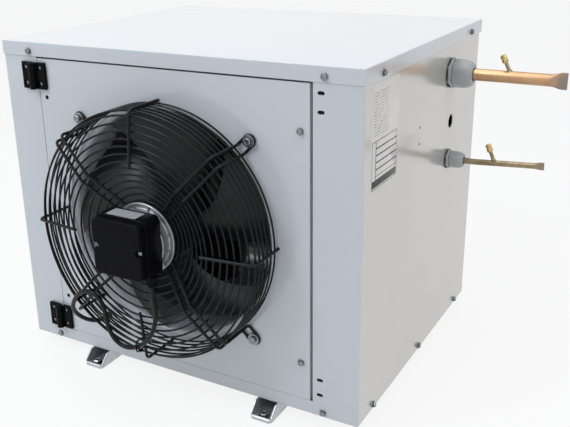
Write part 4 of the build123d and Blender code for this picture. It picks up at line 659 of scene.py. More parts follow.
def sweep_tree():
    """Round wire or tube along drawn lines, with filleted corners. Points carry their own thickness and bend."""
    tree, given, result = geometry_tree("Swept Wire", [
        ("Diameter", "NodeSocketFloat", 0.003), ("Sides", "NodeSocketInt", 12), ("Bend Steps", "NodeSocketInt", 5),
        ("Material", "NodeSocketMaterial", None)])
    line = put(tree, "GeometryNodeMeshToCurve", {"Mesh": given["Geometry"]})
    bend = put(tree, "GeometryNodeInputNamedAttribute", {"Name": "bend"}, data_type="FLOAT")
    filleted = put(tree, "GeometryNodeFilletCurve", {
        "Curve": line.outputs[0], "Radius": bend.outputs[0], "Limit Radius": True, "Count": given["Bend Steps"]},
        mode="POLY")
    half = maths(tree, "MULTIPLY", given["Diameter"], 0.5)
    section = put(tree, "GeometryNodeCurvePrimitiveCircle", {
        "Resolution": given["Sides"], "Radius": half})
    swept = put(tree, "GeometryNodeCurveToMesh", {
        "Curve": filleted.outputs[0], "Profile Curve": section.outputs[0], "Fill Caps": True})
    smooth = put(tree, "GeometryNodeSetShadeSmooth", {"Geometry": swept.outputs[0]})
    return close_tree(tree, smooth.outputs[0], given, result)


def scatter_tree():
    """One template set on every point, turned to face along the point's own direction."""
    tree, given, result = geometry_tree("Set Heads", [
        ("Head", "NodeSocketObject", None), ("Material", "NodeSocketMaterial", None)])
    facing = put(tree, "GeometryNodeInputNamedAttribute", {"Name": "facing"}, data_type="FLOAT_VECTOR")
    spin = put(tree, "GeometryNodeInputNamedAttribute", {"Name": "spin"}, data_type="FLOAT")
    about = put(tree, "ShaderNodeCombineXYZ", {"Z": spin.outputs[0]})
    spun = put(tree, "FunctionNodeEulerToRotation", {0: about.outputs[0]})
    aimed = put(tree, "FunctionNodeAlignRotationToVector", {"Vector": facing.outputs[0]}, axis="Z")
    turned = put(tree, "FunctionNodeRotateRotation", {
        "Rotation": aimed.outputs[0], "Rotate By": spun.outputs[0]}, rotation_space="LOCAL")
    head = put(tree, "GeometryNodeObjectInfo", {"Object": given["Head"]})
    heads = put(tree, "GeometryNodeInstanceOnPoints", {
        "Points": given["Geometry"], "Instance": head.outputs["Geometry"], "Rotation": turned.outputs[0]})
    return close_tree(tree, heads.outputs[0], given, result)


def row_tree():
    """Thin plates in a row along x."""
    tree, given, result = geometry_tree("Row of Plates", [
        ("Count", "NodeSocketInt", 10), ("Pitch", "NodeSocketFloat", 0.002),
        ("Plate Size", "NodeSocketVector", (0.001, 0.01, 0.01)),
        ("Start", "NodeSocketVector", (0, 0, 0)), ("Material", "NodeSocketMaterial", None)])
    step = put(tree, "ShaderNodeCombineXYZ", {"X": given["Pitch"]})
    row = put(tree, "GeometryNodeMeshLine", {
        "Count": given["Count"], "Start Location": given["Start"], "Offset": step.outputs[0]}, mode="OFFSET")
    plate = put(tree, "GeometryNodeMeshCube", {"Size": given["Plate Size"]})
    plates = put(tree, "GeometryNodeInstanceOnPoints", {"Points": row.outputs[0], "Instance": plate.outputs[0]})
    return close_tree(tree, plates.outputs[0], given, result)


TREES = {"sweep": sweep_tree(), "scatter": scatter_tree(), "row": row_tree()}


def grown(name, mesh, tree, values):
    """An object whose geometry comes from a tree, baked to a plain mesh."""
    made = linked(name, mesh)
    modifier = made.modifiers.new("Make", "NODES")
    modifier.node_group = TREES[tree]
    for item in TREES[tree].interface.items_tree:
        if item.item_type == "SOCKET" and item.in_out == "INPUT" and item.name in values:
            modifier[item.identifier] = values[item.name]
    return bake(made)


def swept(name, chains, diameter, material, sides=12, bend_steps=5):
    """Wires along chains. A chain is a list of (point, bend radius), and whether it closes on itself."""
    mesh = bpy.data.meshes.new(name)
    points, bends, edges = [], [], []
    for chain, closed in chains:
        base = len(points)
        points += [tuple(point) for point, bend in chain]
        bends += [bend for point, bend in chain]
        edges += [(base + k, base + k + 1) for k in range(len(chain) - 1)]
        if closed:
            edges.append((base + len(chain) - 1, base))
    mesh.from_pydata(points, edges, [])
    mesh.attributes.new("bend", "FLOAT", "POINT").data.foreach_set("value", bends)
    made = grown(name, mesh, "sweep", {
        "Diameter": diameter, "Sides": sides, "Bend Steps": bend_steps, "Material": MATERIALS[material]})
    shade(made, 50.0)
    return made


def scattered(name, places, template, material):
    """Copies of a template on (point, facing, spin) places. The template is used up."""
    mesh = bpy.data.meshes.new(name)
    mesh.from_pydata([tuple(point) for point, facing, spin in places], [], [])
    mesh.attributes.new("facing", "FLOAT_VECTOR", "POINT").data.foreach_set(
        "vector", [c for point, facing, spin in places for c in facing])
    mesh.attributes.new("spin", "FLOAT", "POINT").data.foreach_set("value", [spin for point, facing, spin in places])
    made = grown(name, mesh, "scatter", {"Head": template, "Material": MATERIALS[material]})
    bpy.data.objects.remove(template)
    shade(made, 35.0)
    return made


def joined(name, pieces):
    """Several baked pieces as one mesh, each keeping its own material."""
    with bpy.context.temp_override(
            active_object=pieces[0], object=pieces[0], selected_objects=pieces, selected_editable_objects=pieces):
        bpy.ops.object.join()
    pieces[0].name = name
    return pieces[0]


# ---- the fan guard's shape ----
GUARD_RIM_R = 194.0 * MM
GUARD_DEPTH = 68.0 * MM
GUARD_CROWN = 7.5 * MM
GUARD_BEND_R = 120.0 * MM
GUARD_HUB_R = 47.0 * MM
HUB_RUN_R = 57.0 * MM
GUARD_HUB_DEPTH = 50.0 * MM
SINGLE_INNER_R = 112.0 * MM
SPOKE_PAIR = 16.0 * MM
FIXING_R = 215.0 * MM
SIDE_FIRST = 4.0 * MM


def rim_depth(radius):
    """Depth of the spokes' outer slope in front of the door."""
    return GUARD_DEPTH + GUARD_CROWN - GUARD_CROWN / (GUARD_RIM_R - GUARD_BEND_R) * (radius - GUARD_BEND_R)


def face_depth(radius):
    """Depth of the spokes' centre line at a radius."""
    if radius < HUB_RUN_R:
        return GUARD_HUB_DEPTH
    if radius < GUARD_BEND_R:
        rise = GUARD_DEPTH + GUARD_CROWN - GUARD_HUB_DEPTH
        return GUARD_HUB_DEPTH + rise * (radius - HUB_RUN_R) / (GUARD_BEND_R - HUB_RUN_R)
    return rim_depth(radius)


def ring_depth(radius, spoke, ring):
    """Depth of a face ring's centre, welded to the back of the spokes."""
    slope = (face_depth(radius + 0.1 * MM) - face_depth(radius - 0.1 * MM)) / (0.2 * MM)
    return face_depth(radius) - (spoke + ring) / 2 * math.hypot(1, slope) - 0.1 * MM


class UNIT_OT_guard(bpy.types.Operator):
    """Fan guard: welded rings behind double and single spokes"""

    bl_idname = "unit.guard"
    bl_label = "Fan Guard"

    def execute(self, context):
        sizes = context.scene.unit_guard
        spokes = []
        for turn in (45, 135, 225, 315):
            place = FAN_FRAME @ Matrix.Rotation(math.radians(turn), 4, "Z")
            foot = sizes.spoke / 2
            loop = FIXING_R + SPOKE_PAIR / 2
            half = [
                (GUARD_HUB_R, GUARD_HUB_DEPTH, 0.0), (HUB_RUN_R, GUARD_HUB_DEPTH, 5 * MM),
                (GUARD_BEND_R, GUARD_DEPTH + GUARD_CROWN, 8 * MM), (GUARD_RIM_R, GUARD_DEPTH, 8 * MM),
                (GUARD_RIM_R, foot, 6 * MM), (loop, foot, SPOKE_PAIR / 2 * 0.98),
            ]
            chain = [(place @ Vector((r, -SPOKE_PAIR / 2, d)), b) for r, d, b in half]
            chain += [(place @ Vector((r, SPOKE_PAIR / 2, d)), b) for r, d, b in reversed(half)]
            spokes.append((chain, False))
        for turn in (0, 90, 180, 270):
            place = FAN_FRAME @ Matrix.Rotation(math.radians(turn), 4, "Z")
            spokes.append(([
                (place @ Vector((SINGLE_INNER_R, 0, rim_depth(SINGLE_INNER_R))), 0.0),
                (place @ Vector((GUARD_RIM_R, 0, GUARD_DEPTH)), 8 * MM),
                (place @ Vector((GUARD_RIM_R, 0, 0.2 * MM)), 0.0)], False))
        rings = []
        places = [(sizes.first_ring + sizes.pitch * k, None) for k in range(sizes.face_rings)]
        side = GUARD_RIM_R - (sizes.spoke + sizes.ring) / 2 - 0.1 * MM
        places += [(side, SIDE_FIRST + sizes.side_pitch * k) for k in range(sizes.side_rings)]
        for radius, depth in places:
            level = ring_depth(radius, sizes.spoke, sizes.ring) if depth is None else depth
            rings.append(([(FAN_FRAME @ Vector((x, y, level)), 0.0) for x, y in circle(radius, 144)], True))
        made = joined("fan_guard_wires", [
            swept("guard_spokes", spokes, sizes.spoke, "guard", 14, 7),
            swept("guard_rings", rings, sizes.ring, "guard", 10)])
        settle(made, "door", "guard_black", "fan_guard")
        return {"FINISHED"}


# ---- fan and motor ----
BLADE_STATIONS = (
    # radius, chord, pitch in degrees, sweep in degrees
    (44.0, 50.0, 46.0, 0.0),
    (66.0, 68.0, 39.5, 1.8),
    (90.0, 88.0, 34.0, 5.0),
    (112.0, 107.0, 29.7, 10.0),
    (135.0, 126.0, 26.0, 16.0),
    (160.0, 139.0, 22.8, 23.8),
    (185.0, 150.0, 20.0, 32.0),
)
BLADE_MIDDLE = 27.0 * MM
THROAT_R = 178.0 * MM
OPENING_R = 187.0 * MM


def station_at(radius):
    """Chord, pitch and sweep of a blade at a radius."""
    for low, high in zip(BLADE_STATIONS, BLADE_STATIONS[1:]):
        if radius <= high[0]:
            share = (radius - low[0]) / (high[0] - low[0])
            return [a + (b - a) * share for a, b in zip(low[1:], high[1:])]
    return list(BLADE_STATIONS[-1][1:])


class UNIT_OT_fan(bpy.types.Operator):
    """Impeller, motor and the venturi ring round them"""

    bl_idname = "unit.fan"
    bl_label = "Fan and Motor"

    def execute(self, context):
        sizes = context.scene.unit_fan
        blades = Form()
        steps = 14
        half = sizes.blade_thickness / 2
        for count in range(sizes.blades):
            start = math.tau * count / sizes.blades
            rings = []
            for level in range(19):
                radius = 49.0 + (sizes.tip / MM - 49.0) * level / 18
                chord, pitch, sweep = station_at(radius)
                tilt = math.radians(pitch)
                upper, lower = [], []
                for step in range(steps + 1):
                    share = step / steps - 0.5
                    edge = min(1.0, 5.5 * (0.5 - abs(share)) + 0.25)
                    bow = sizes.camber * chord * (1 - 4 * share * share) * MM
                    for side, row in ((1, upper), (-1, lower)):
                        lift = side * half * edge
                        along = share * chord * MM
                        tangential = along * math.cos(tilt) - (lift + bow) * math.sin(tilt)
                        out = along * math.sin(tilt) + (lift + bow) * math.cos(tilt)
                        turn = start + math.radians(sweep) + tangential / (radius * MM)
                        row.append(FAN_FRAME @ Vector((
                            radius * MM * math.cos(turn), radius * MM * math.sin(turn), out - BLADE_MIDDLE)))
                rings.append(upper + lower[::-1])
            blades.skin(rings)
        blades.turned(FAN_FRAME, mm((48.0, -6), (51, -6), (51, -42), (48.0, -42)), True, 96)
        settle(blades.build("impeller_blades", "fan", smooth=40), "fan", "fan_black", "impeller")

        can = Form().turned(FAN_FRAME, mm((45, 46), (47, 46), (48, 45), (48, -38), (47.2, -41), (44, -43.4), (38, -44),
                                          (12, -44), (10, -42.5), (6.0, -42.5), (6.0, -41), (41, -41), (45, -37)),
                            True, 96)
        settle(can.build("rotor_shell", "fan"), "fan", "fan_black", "rotor_can")

        shaft = Form().turned(FAN_FRAME, mm((2, 35), (5.4, 35), (6, 34.4), (6, -43.4), (5.4, -44), (2, -44)), False, 40)
        settle(shaft.build("motor_shaft", "steel"), "fan", "shaft_steel", "fan_shaft")

        stator = Form().turned(FAN_FRAME, mm((2, 70), (45, 70), (46, 69), (46, 56.3), (47, 55.3), (53, 55.3),
                                             (54, 54.5), (54, 53), (53.2, 52.3), (30, 52.3), (30, 40), (42, 40),
                                             (42, -34), (14, -34), (14, 35.3), (2, 35.3)), False, 96)
        for turn in range(0, 360, 30):
            rib = FAN_FRAME @ Matrix.Rotation(math.radians(turn + 15), 4, "Z")
            outline = mm((45.5, -1), (52.5, -1), (52.5, 1), (45.5, 1))
            stator.stack(rib, [(outline, 55.2 * MM), (scaled(outline, 0.9, (46 * MM, 0)), 58 * MM)])
        settle(stator.build("motor_body", "motor"), "door", "motor_aluminium", "motor_stator")

        mouth = [(OPENING_R + 12 * MM, -1.5 * MM)]
        mouth += [(THROAT_R + 9 * MM - 9 * MM * s, -1.5 * MM - 9 * MM * (1 - c)) for c, s in quarter(8, 0)]
        mouth += [(THROAT_R, -64 * MM), (THROAT_R + 0.4 * MM, -66 * MM), (THROAT_R + 1.5 * MM, -66 * MM),
                  (THROAT_R + 1.5 * MM, -12 * MM)]
        mouth += [(THROAT_R + 3.5 * MM, -6.5 * MM), (OPENING_R, -3 * MM), (OPENING_R + 12 * MM, -3 * MM)]
        ring = Form().turned(FAN_FRAME, mouth, True, 144)
        settle(ring.build("venturi_mouth", "paint", smooth=30), "door", "cabinet_paint", "venturi_ring")
        return {"FINISHED"}


# ---- terminal box ----
BOX_SIDE = 90.0 * MM
BOX_SEAT = 70.0 * MM
BOX_JOINT = 104.5 * MM
BOX_FRONT = 116.0 * MM
BOX_LOW, BOX_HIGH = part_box("terminal_box")
BOX_X = (BOX_LOW.x + BOX_HIGH.x) / 2
BOX_Z = (BOX_LOW.z + BOX_HIGH.z) / 2
BOX_FRAME = placed((BOX_X, FACE_Y, BOX_Z), (0, -1, 0), (1, 0, 0))
SCREW_OUT = 38.0 * MM
RECESS_R = 5.2 * MM


def notched(width, radius, recess):
    """A rounded square with a U-shaped notch in the middle of its left and right edges."""
    corners = rounded(width, width, radius, 6)
    quarter = len(corners) // 4
    notch = [(width / 2, -recess)]
    for step in range(9):
        turn = math.radians(270 - 180 * step / 8)
        notch.append((SCREW_OUT + recess * math.cos(turn), recess * math.sin(turn)))
    notch.append((width / 2, recess))
    left = [(-x, -y) for x, y in notch]
    return notch + corners[:2 * quarter] + left + corners[2 * quarter:]


def label_rows(tree, base):
    """Plain ruled rows on the box's foil label, with no words."""
    split = put(tree, "ShaderNodeSeparateXYZ", {0: object_coordinates(tree)})
    rows = maths(tree, "MULTIPLY", split.outputs["Y"], 230.0)
    part = maths(tree, "FRACT", rows)
    line = maths(tree, "LESS_THAN", part, 0.22)
    weak = maths(tree, "MULTIPLY", line, 0.5)
    return blend_colour(tree, weak, base, (0.10, 0.13, 0.16))


class UNIT_OT_terminal_box(bpy.types.Operator):
    """Terminal box on the motor: body, lid, screws and its bare label"""

    bl_idname = "unit.terminal_box"
    bl_label = "Terminal Box"

    def execute(self, context):
        outer = rounded(BOX_SIDE, BOX_SIDE, 10 * MM, 8)
        inner = rounded(BOX_SIDE - 6 * MM, BOX_SIDE - 6 * MM, 7 * MM, 8)
        body = Form().stack(BOX_FRAME, [
            (scaled(outer, 0.985), BOX_SEAT), (outer, BOX_SEAT + 1 * MM), (outer, BOX_JOINT - 0.7 * MM),
            (scaled(outer, 0.985), BOX_JOINT),
            (inner, BOX_JOINT), (inner, BOX_SEAT + 3 * MM), (scaled(inner, 0.02), BOX_SEAT + 3 * MM)])
        for x in (-1, 1):
            body.stack(BOX_FRAME, [
                ([(x * 40 * MM + p * 0.5, q) for p, q in circle(7 * MM, 12)], BOX_SEAT + 2 * MM),
                ([(x * 40 * MM + p * 0.5, q) for p, q in circle(6 * MM, 12)], BOX_JOINT - 3 * MM)])
        settle(body.build("terminal_box_body", "plastic"), "door", "box_black", "terminal_box")

        side = BOX_SIDE - 5.4 * MM
        base = rounded(side, side, 7.3 * MM, 8)
        lid = Form().stack(BOX_FRAME, [(base, BOX_JOINT), (base, BOX_FRONT - 6.0 * MM),
                                       (scaled(base, 0.99), BOX_FRONT - 5.9 * MM)])
        top = notched(side, 7.3 * MM, RECESS_R)
        levels = [(top, BOX_FRONT - 6.1 * MM), (top, BOX_FRONT - 2.2 * MM)]
        for drop, shrink in ((1.3, 0.4), (0.55, 1.2), (0.12, 2.4), (0.0, 3.6), (0.0, 4.6)):
            levels.append((notched(side - shrink * MM, 7.0 * MM, RECESS_R + shrink * 0.3 * MM), BOX_FRONT - drop * MM))
        lid.stack(BOX_FRAME, levels)
        settle(lid.build("terminal_box_cover", "plastic", smooth=40), "door", "box_black", "terminal_box_lid")

        head = screw_template("box_screw", 3.6 * MM, 2.4 * MM, 0.0, cross=True)
        spots = [(BOX_FRAME @ Vector((x * SCREW_OUT, 0, BOX_FRONT - 6 * MM)), (0, -1, 0), 0.4 + x * 0.3)
                 for x in (-1, 1)]
        settle(scattered("terminal_box_screw_heads", spots, head, "screw"), "door", "zinc_screw", "terminal_box_screws")

        plate = Form().stack(placed((BOX_X - 2 * MM, FACE_Y - 88 * MM, BOX_HIGH.z), (0, 0, 1), (1, 0, 0)), [
            (rounded(52 * MM, 24 * MM, 1 * MM, 3), -0.05 * MM), (rounded(52 * MM, 24 * MM, 1 * MM, 3), 0.15 * MM)])
        MATERIALS["box_label"] = finish(
            "Box Label Foil", (0.62, 0.66, 0.68), (0.50, 0.54, 0.57), (0.28, 0.40), metallic=0.35,
            mottle=(160.0, 3.0, 2.0),
            grain=(2600.0, 0.01), tint=label_rows)
        settle(plate.build("terminal_box_label", "box_label"), "door", "motor_aluminium")
        return {"FINISHED"}


# ---- screws ----
def screw_template(name, radius, height, flange, cross=False, hexagonal=False, washer=0.0):
    """One screw head standing on the origin, facing up."""
    form = Form()
    level = 0.0
    here = Matrix.Identity(4)
    if washer:
        form.stack(here, [(circle(flange, 40), 0), (circle(flange, 40), washer * 0.85),
                          (circle(flange * 0.97, 40), washer)])
        level = washer
    elif flange:
        form.turned(here, [
            (flange, 0), (flange, 0.5 * MM), (flange * 0.94, 0.9 * MM), (flange * 0.7, 1.3 * MM)], False, 32)
        level = 0.9 * MM
    if hexagonal:
        body = circle(radius / math.cos(math.pi / 6), 6)
        edge = height - 0.8 * MM
        form.stack(here, [(body, level * 0.6), (body, edge), (scaled(body, 0.86), height), (scaled(body, 0.60), height),
                          (scaled(body, 0.52), height - 0.9 * MM), (scaled(body, 0.2), height - 0.9 * MM)])
    else:
        dome = [(circle(radius, 24), level), (circle(radius * 0.99, 24), level + height * 0.45),
                (circle(radius * 0.86, 24), level + height * 0.80), (circle(radius * 0.5, 24), level + height)]
        if cross:
            dome += [(circle(radius * 0.42, 24), level + height), (circle(radius * 0.25, 24), level + height * 0.45)]
        form.stack(here, dome)
    return form.build(name, "screw", bevel=0.12 * MM if hexagonal else 0.0, segments=1)


class UNIT_OT_fasteners(bpy.types.Operator):
    """Screws and bolts of the casing, door, guard and feet"""

    bl_idname = "unit.fasteners"
    bl_label = "Fasteners"

    def execute(self, context):
        front = FACE_Y
        top_row = LID_HIGH.z - 14 * MM
        foot_row = PANEL_LOW.z + 7 * MM
        left = -SIDE_X
        spins = (0.2, 0.9, 0.5, 1.3, 0.0, 0.7, 1.1)
        places = []
        for x in (left + 55 * MM, SIDE_X - 55 * MM):
            places += [((x, front - SHEET, top_row), (0, -1, 0)), ((x, front, foot_row), (0, -1, 0))]
        rear = PANEL_HIGH.y
        for side in (-1, 1):
            for y in (front + 55 * MM, rear - 55 * MM):
                places.append(((side * (SIDE_X + SHEET), y, top_row), (side, 0, 0)))
            for y in (front + 55 * MM, (front + rear) / 2, rear - 55 * MM):
                places.append(((side * SIDE_X, y, foot_row), (side, 0, 0)))
        spots = [(point, facing, spins[k % len(spins)]) for k, (point, facing) in enumerate(places)]
        casing = scattered("casing_screw_heads", spots, screw_template(
            "hex", 4.1 * MM, 4.5 * MM, 5.6 * MM, hexagonal=True), "screw")
        settle(casing, "cabinet", "zinc_screw", "casing_screws")

        door_x = DOOR_HIGH.x - 14 * MM
        rows = (DOOR_LOW.z + 59.5 * MM, DOOR_HIGH.z - 65 * MM)
        door = scattered("door_screw_heads", [((door_x, front, z), (0, -1, 0), 0.4 + k) for k, z in enumerate(rows)],
                         screw_template("hex_door", 4.1 * MM, 4.5 * MM, 5.6 * MM, hexagonal=True), "screw")
        settle(door, "door", "zinc_screw", "door_screws")

        spoke = context.scene.unit_guard.spoke
        spots = []
        for turn in (45, 135, 225, 315):
            point = FAN_FRAME @ Vector((FIXING_R * math.cos(math.radians(turn)),
                                        FIXING_R * math.sin(math.radians(turn)), spoke))
            spots.append((point, (0, -1, 0), turn * 0.013))
        guard = scattered("guard_screw_heads", spots, screw_template(
            "hex_guard", 5 * MM, 5.8 * MM, 9 * MM, hexagonal=True, washer=1.6 * MM), "screw")
        settle(guard, "door", "zinc_screw", "guard_screws")

        low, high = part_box("foot_bolts")
        spots = [((x, (low.y + high.y) / 2, low.z + 2 * MM), (0, 0, 1), 0.3) for x in (low.x + 8 * MM, high.x - 8 * MM)]
        bolts = scattered("foot_bolt_heads", spots, screw_template(
            "hex_foot", 6.5 * MM, 6.9 * MM, 8 * MM, hexagonal=True, washer=1.6 * MM), "screw")
        shanks = Form()
        for x in (low.x + 8 * MM, high.x - 8 * MM):
            shanks.turned(Matrix.Translation((x, (low.y + high.y) / 2, 0)),
                          [(4 * MM, low.z), (4 * MM, low.z + 2.2 * MM)], False, 24)
        made = joined("foot_bolt_set", [bolts, shanks.build("shanks", "screw")])
        settle(made, "cabinet", "zinc_screw", "foot_bolts")
        return {"FINISHED"}


# ---- door hinges ----
PIN_R = 2.5 * MM
LEAF = 5 * MM
POCKET = 3.75 * MM
POCKET_IN = 8.5 * MM
FRAME_COLUMN = -16.5 * MM
DOOR_COLUMN = 12.5 * MM


def strip_outline(left, right, low, high):
    """A rectangle's corners from its sides."""
    return [(left, low), (right, low), (right, high), (left, high)]


class UNIT_OT_hinges(bpy.types.Operator):
    """Moulded plastic hinges with recessed screws"""

    bl_idname = "unit.hinges"
    bl_label = "Door Hinges"

    def execute(self, context):
        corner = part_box("hinge_pins")[0]
        axis_x, axis_y = corner.x + PIN_R, corner.y + PIN_R
        for which in ("lower", "upper"):
            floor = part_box("hinge_leaf_" + which)[0].z
            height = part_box("hinge_leaf_" + which)[1].z - floor
            for side, body, stem in ((-1, "cabinet", "hinge_leaf_"), (1, "door", "door_hinge_leaf_")):
                form = Form()
                inner = side * 6.6 * MM
                outer = side * 23.5 * MM
                shape = [(inner, 0), (outer - side * 1.0 * MM, 0), (outer, 1.0 * MM), (outer, height - 1.0 * MM),
                         (outer - side * 1.0 * MM, height), (inner, height)]
                column = DOOR_COLUMN if side > 0 else FRAME_COLUMN
                place = placed((axis_x, FACE_Y, floor), (0, -1, 0), (1, 0, 0))
                form.stack(place, [(shape, 0.02 * MM), (shape, 2.0 * MM)])
                # The leaf's face round two square pockets: strips between and beside them.
                rows = (POCKET_IN, height - POCKET_IN)
                left, right = sorted((inner, outer))
                bands = [(0, rows[0] - POCKET), (rows[0] + POCKET, rows[1] - POCKET), (rows[1] + POCKET, height)]
                for low, high in bands:
                    strip = strip_outline(left, right, low, high)
                    narrowed = [(x * 0.985 + 0.015 * (left + right) / 2, y) for x, y in strip]
                    form.stack(place, [(strip, 1.9 * MM), (strip, LEAF - 0.5 * MM), (narrowed, LEAF)])
                for row in rows:
                    for near, far in ((left, column - POCKET), (column + POCKET, right)):
                        strip = strip_outline(near, far, row - POCKET, row + POCKET)
                        form.stack(place, [(strip, 1.9 * MM), (strip, LEAF - 0.5 * MM), (strip, LEAF)])
                # The knuckles of door and frame take turns up the pin.
                step = height / 4
                web = strip_outline(side * 3.0 * MM, side * 8.0 * MM, -0.3 * MM, -4.7 * MM)
                flat = placed((axis_x, FACE_Y, floor), (0, 0, 1), (1, 0, 0))
                knuckle = Matrix.Translation((axis_x, axis_y, floor))
                for turn in (0, 2) if side > 0 else (1, 3):
                    low, high = turn * step + 0.15 * MM, (turn + 1) * step - 0.15 * MM
                    form.turned(knuckle, [
                        (2.6 * MM, low), (5.5 * MM, low), (6 * MM, low + 0.5 * MM), (6 * MM, high - 0.5 * MM),
                        (5.5 * MM, high), (2.6 * MM, high)], True, 32)
                    form.stack(flat, [(web, low), (web, high)])
                made = form.build(("door_" if side > 0 else "frame_") + "hinge_" + which, "plastic", bevel=0.25 * MM,
                                  segments=2)
                settle(made, body, "hinge_plastic", stem + which)
        for body, column, node in (
                ("cabinet", FRAME_COLUMN, "hinge_frame_screws"), ("door", DOOR_COLUMN, "door_hinge_screws")):
            spots = []
            for which in ("lower", "upper"):
                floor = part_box("hinge_leaf_" + which)[0].z
                for row in (POCKET_IN, 33.5 * MM):
                    spots.append(((axis_x + column, FACE_Y - 2 * MM, floor + row), (0, -1, 0), row * 90))
            head = screw_template("pan", 3.0 * MM, 1.9 * MM, 0.0, cross=True)
            heads = scattered(node + "_heads", spots, head, "screw")
            settle(heads, body, "zinc_screw", node)
        return {"FINISHED"}


# ---- copper stubs, glands and access valves ----
FLUTE_SIDES = 48
LIQUID_KINK = 45 * MM
LIQUID_REACH = 155.6 * MM
LIQUID_LEAN = 3.6
VALVE_LEAN = 27.0


def stub_rings(origin, way, radius, run, pinch, flat, width, height):
    """Rings of a tube that is pressed flat at its end."""
    place = placed(origin, way, (0, 1, 0))
    sides = 40

    def oval(half_y, half_z, power, z):
        ring = []
        for k in range(sides):
            turn = math.tau * k / sides
            c, s = math.cos(turn), math.sin(turn)
            ring.append(place @ Vector((
                half_y * math.copysign(abs(c) ** power, c), half_z * math.copysign(abs(s) ** power, s), z)))
        return ring

    rings = [oval(radius, radius, 1.0, run * k / 8) for k in range(9)]
    for step in range(1, 11):
        share = step / 10
        ease = share * share * (3 - 2 * share)
        rings.append(oval(radius + (width / 2 - radius) * ease, radius + (height / 2 - radius) * ease,
                          1.0 - 0.35 * ease, run + pinch * share))
    for share in (0.25, 0.5, 0.75, 0.93):
        rings.append(oval(width / 2, height / 2, 0.65, run + pinch + flat * share))
    rings.append(oval(width / 2 * 0.6, height / 2 * 0.985, 0.65, run + pinch + flat))
    return rings


def gland(name, tube, thread, base_width, base_tall, cap_width, cap_tall, mouth, overall):
    """A two-part gland on the right side: washer, hexagonal base, fluted cap, seal and thread. Sizes in millimetres."""
    place = placed((SIDE_X, *PORTS[name]), (1, 0, 0), (0, 1, 0))

    def ring(radius, height, fluting):
        """A round ring that draws out to a hexagon's flats as the fluting rises to 1."""
        points = []
        for k in range(FLUTE_SIDES):
            turn = math.tau * k / FLUTE_SIDES
            nearest = (turn + math.pi / 6) % (math.pi / 3) - math.pi / 6
            flat = radius * min(1 / math.cos(nearest), 1.075)
            reach = radius + (flat - radius) * fluting
            points.append(place @ Vector((reach * math.cos(turn) * MM, reach * math.sin(turn) * MM, height * MM)))
        return points

    def turned(part, material, profile, sides):
        """A closed ring of one profile, in millimetres."""
        return Form().turned(place, mm(*profile), True, sides).build(part, material)

    outline = hexagon(base_width * MM, 0.5)
    bore = circle((tube + 0.3) * MM, 6, 0.5)
    base = Form().stack(place, [
        (scaled(outline, 0.90), 0.0), (scaled(outline, 0.90), 1.9 * MM), (scaled(outline, 0.94), 2.5 * MM),
        (scaled(outline, 0.94), (base_tall - 1.0) * MM), (scaled(outline, 0.90), base_tall * MM),
        (bore, base_tall * MM), (bore, 0.0)], True)

    half = cap_width / 2
    shoulder = base_tall + cap_tall - 1
    rise = overall - shoulder
    rings = [
        ring(half * 0.90, base_tall - 0.2, 0.2), ring(half * 0.90, base_tall + 0.9, 0.2),
        ring(half * 0.97, base_tall + 1.1, 1.0), ring(half, base_tall + 2.2, 1.0),
        ring(half, shoulder - 3, 1.0), ring(half, shoulder, 0.6)]
    for step, (c, s) in enumerate(quarter(7), 1):
        rings.append(ring(mouth + (half - mouth) * c ** 0.8, shoulder + rise * s, 0.6 * (1 - step / 7)))
    rings += [
        ring(mouth - 1.2, overall - 0.4, 0), ring(tube + 0.9, overall - 1.4, 0),
        ring(tube + 0.15, overall - 2.6, 0), ring(tube + 0.15, base_tall - 0.2, 0)]

    edge = base_width / 2
    threads = [(tube + 0.15, -11.3)]
    level = -11.3
    while level < -0.3:
        threads += [
            (thread - 0.7, level), (thread, level + 0.4), (thread, level + 0.7), (thread - 0.7, level + 1.1)]
        level += 1.1
    threads += [(thread - 0.7, 0.0), (tube + 0.15, 0.0)]
    made = joined(f"{name}_gland_body", [
        base.build("gland_base", "gland", bevel=0.5 * MM),
        Form().skin(rings, True).build("gland_cap", "gland", smooth=38),
        turned("gland_seal", "rubber", [
            (tube + 0.06, overall - 0.8), (tube + 1.6, overall - 0.9), (tube + 1.9, overall - 2.4),
            (tube + 0.06, overall - 2.4)], 40),
        turned("gland_washer", "rubber", [
            (edge - 3.2, 0.0), (edge + 0.4, 0.0), (edge + 0.7, 0.9), (edge + 0.4, 1.8), (edge - 3.2, 1.8)], 56),
        turned("gland_thread", "gland", threads, 40),
    ])
    settle(made, "cabinet", "gland_grey", f"gland_{name}")


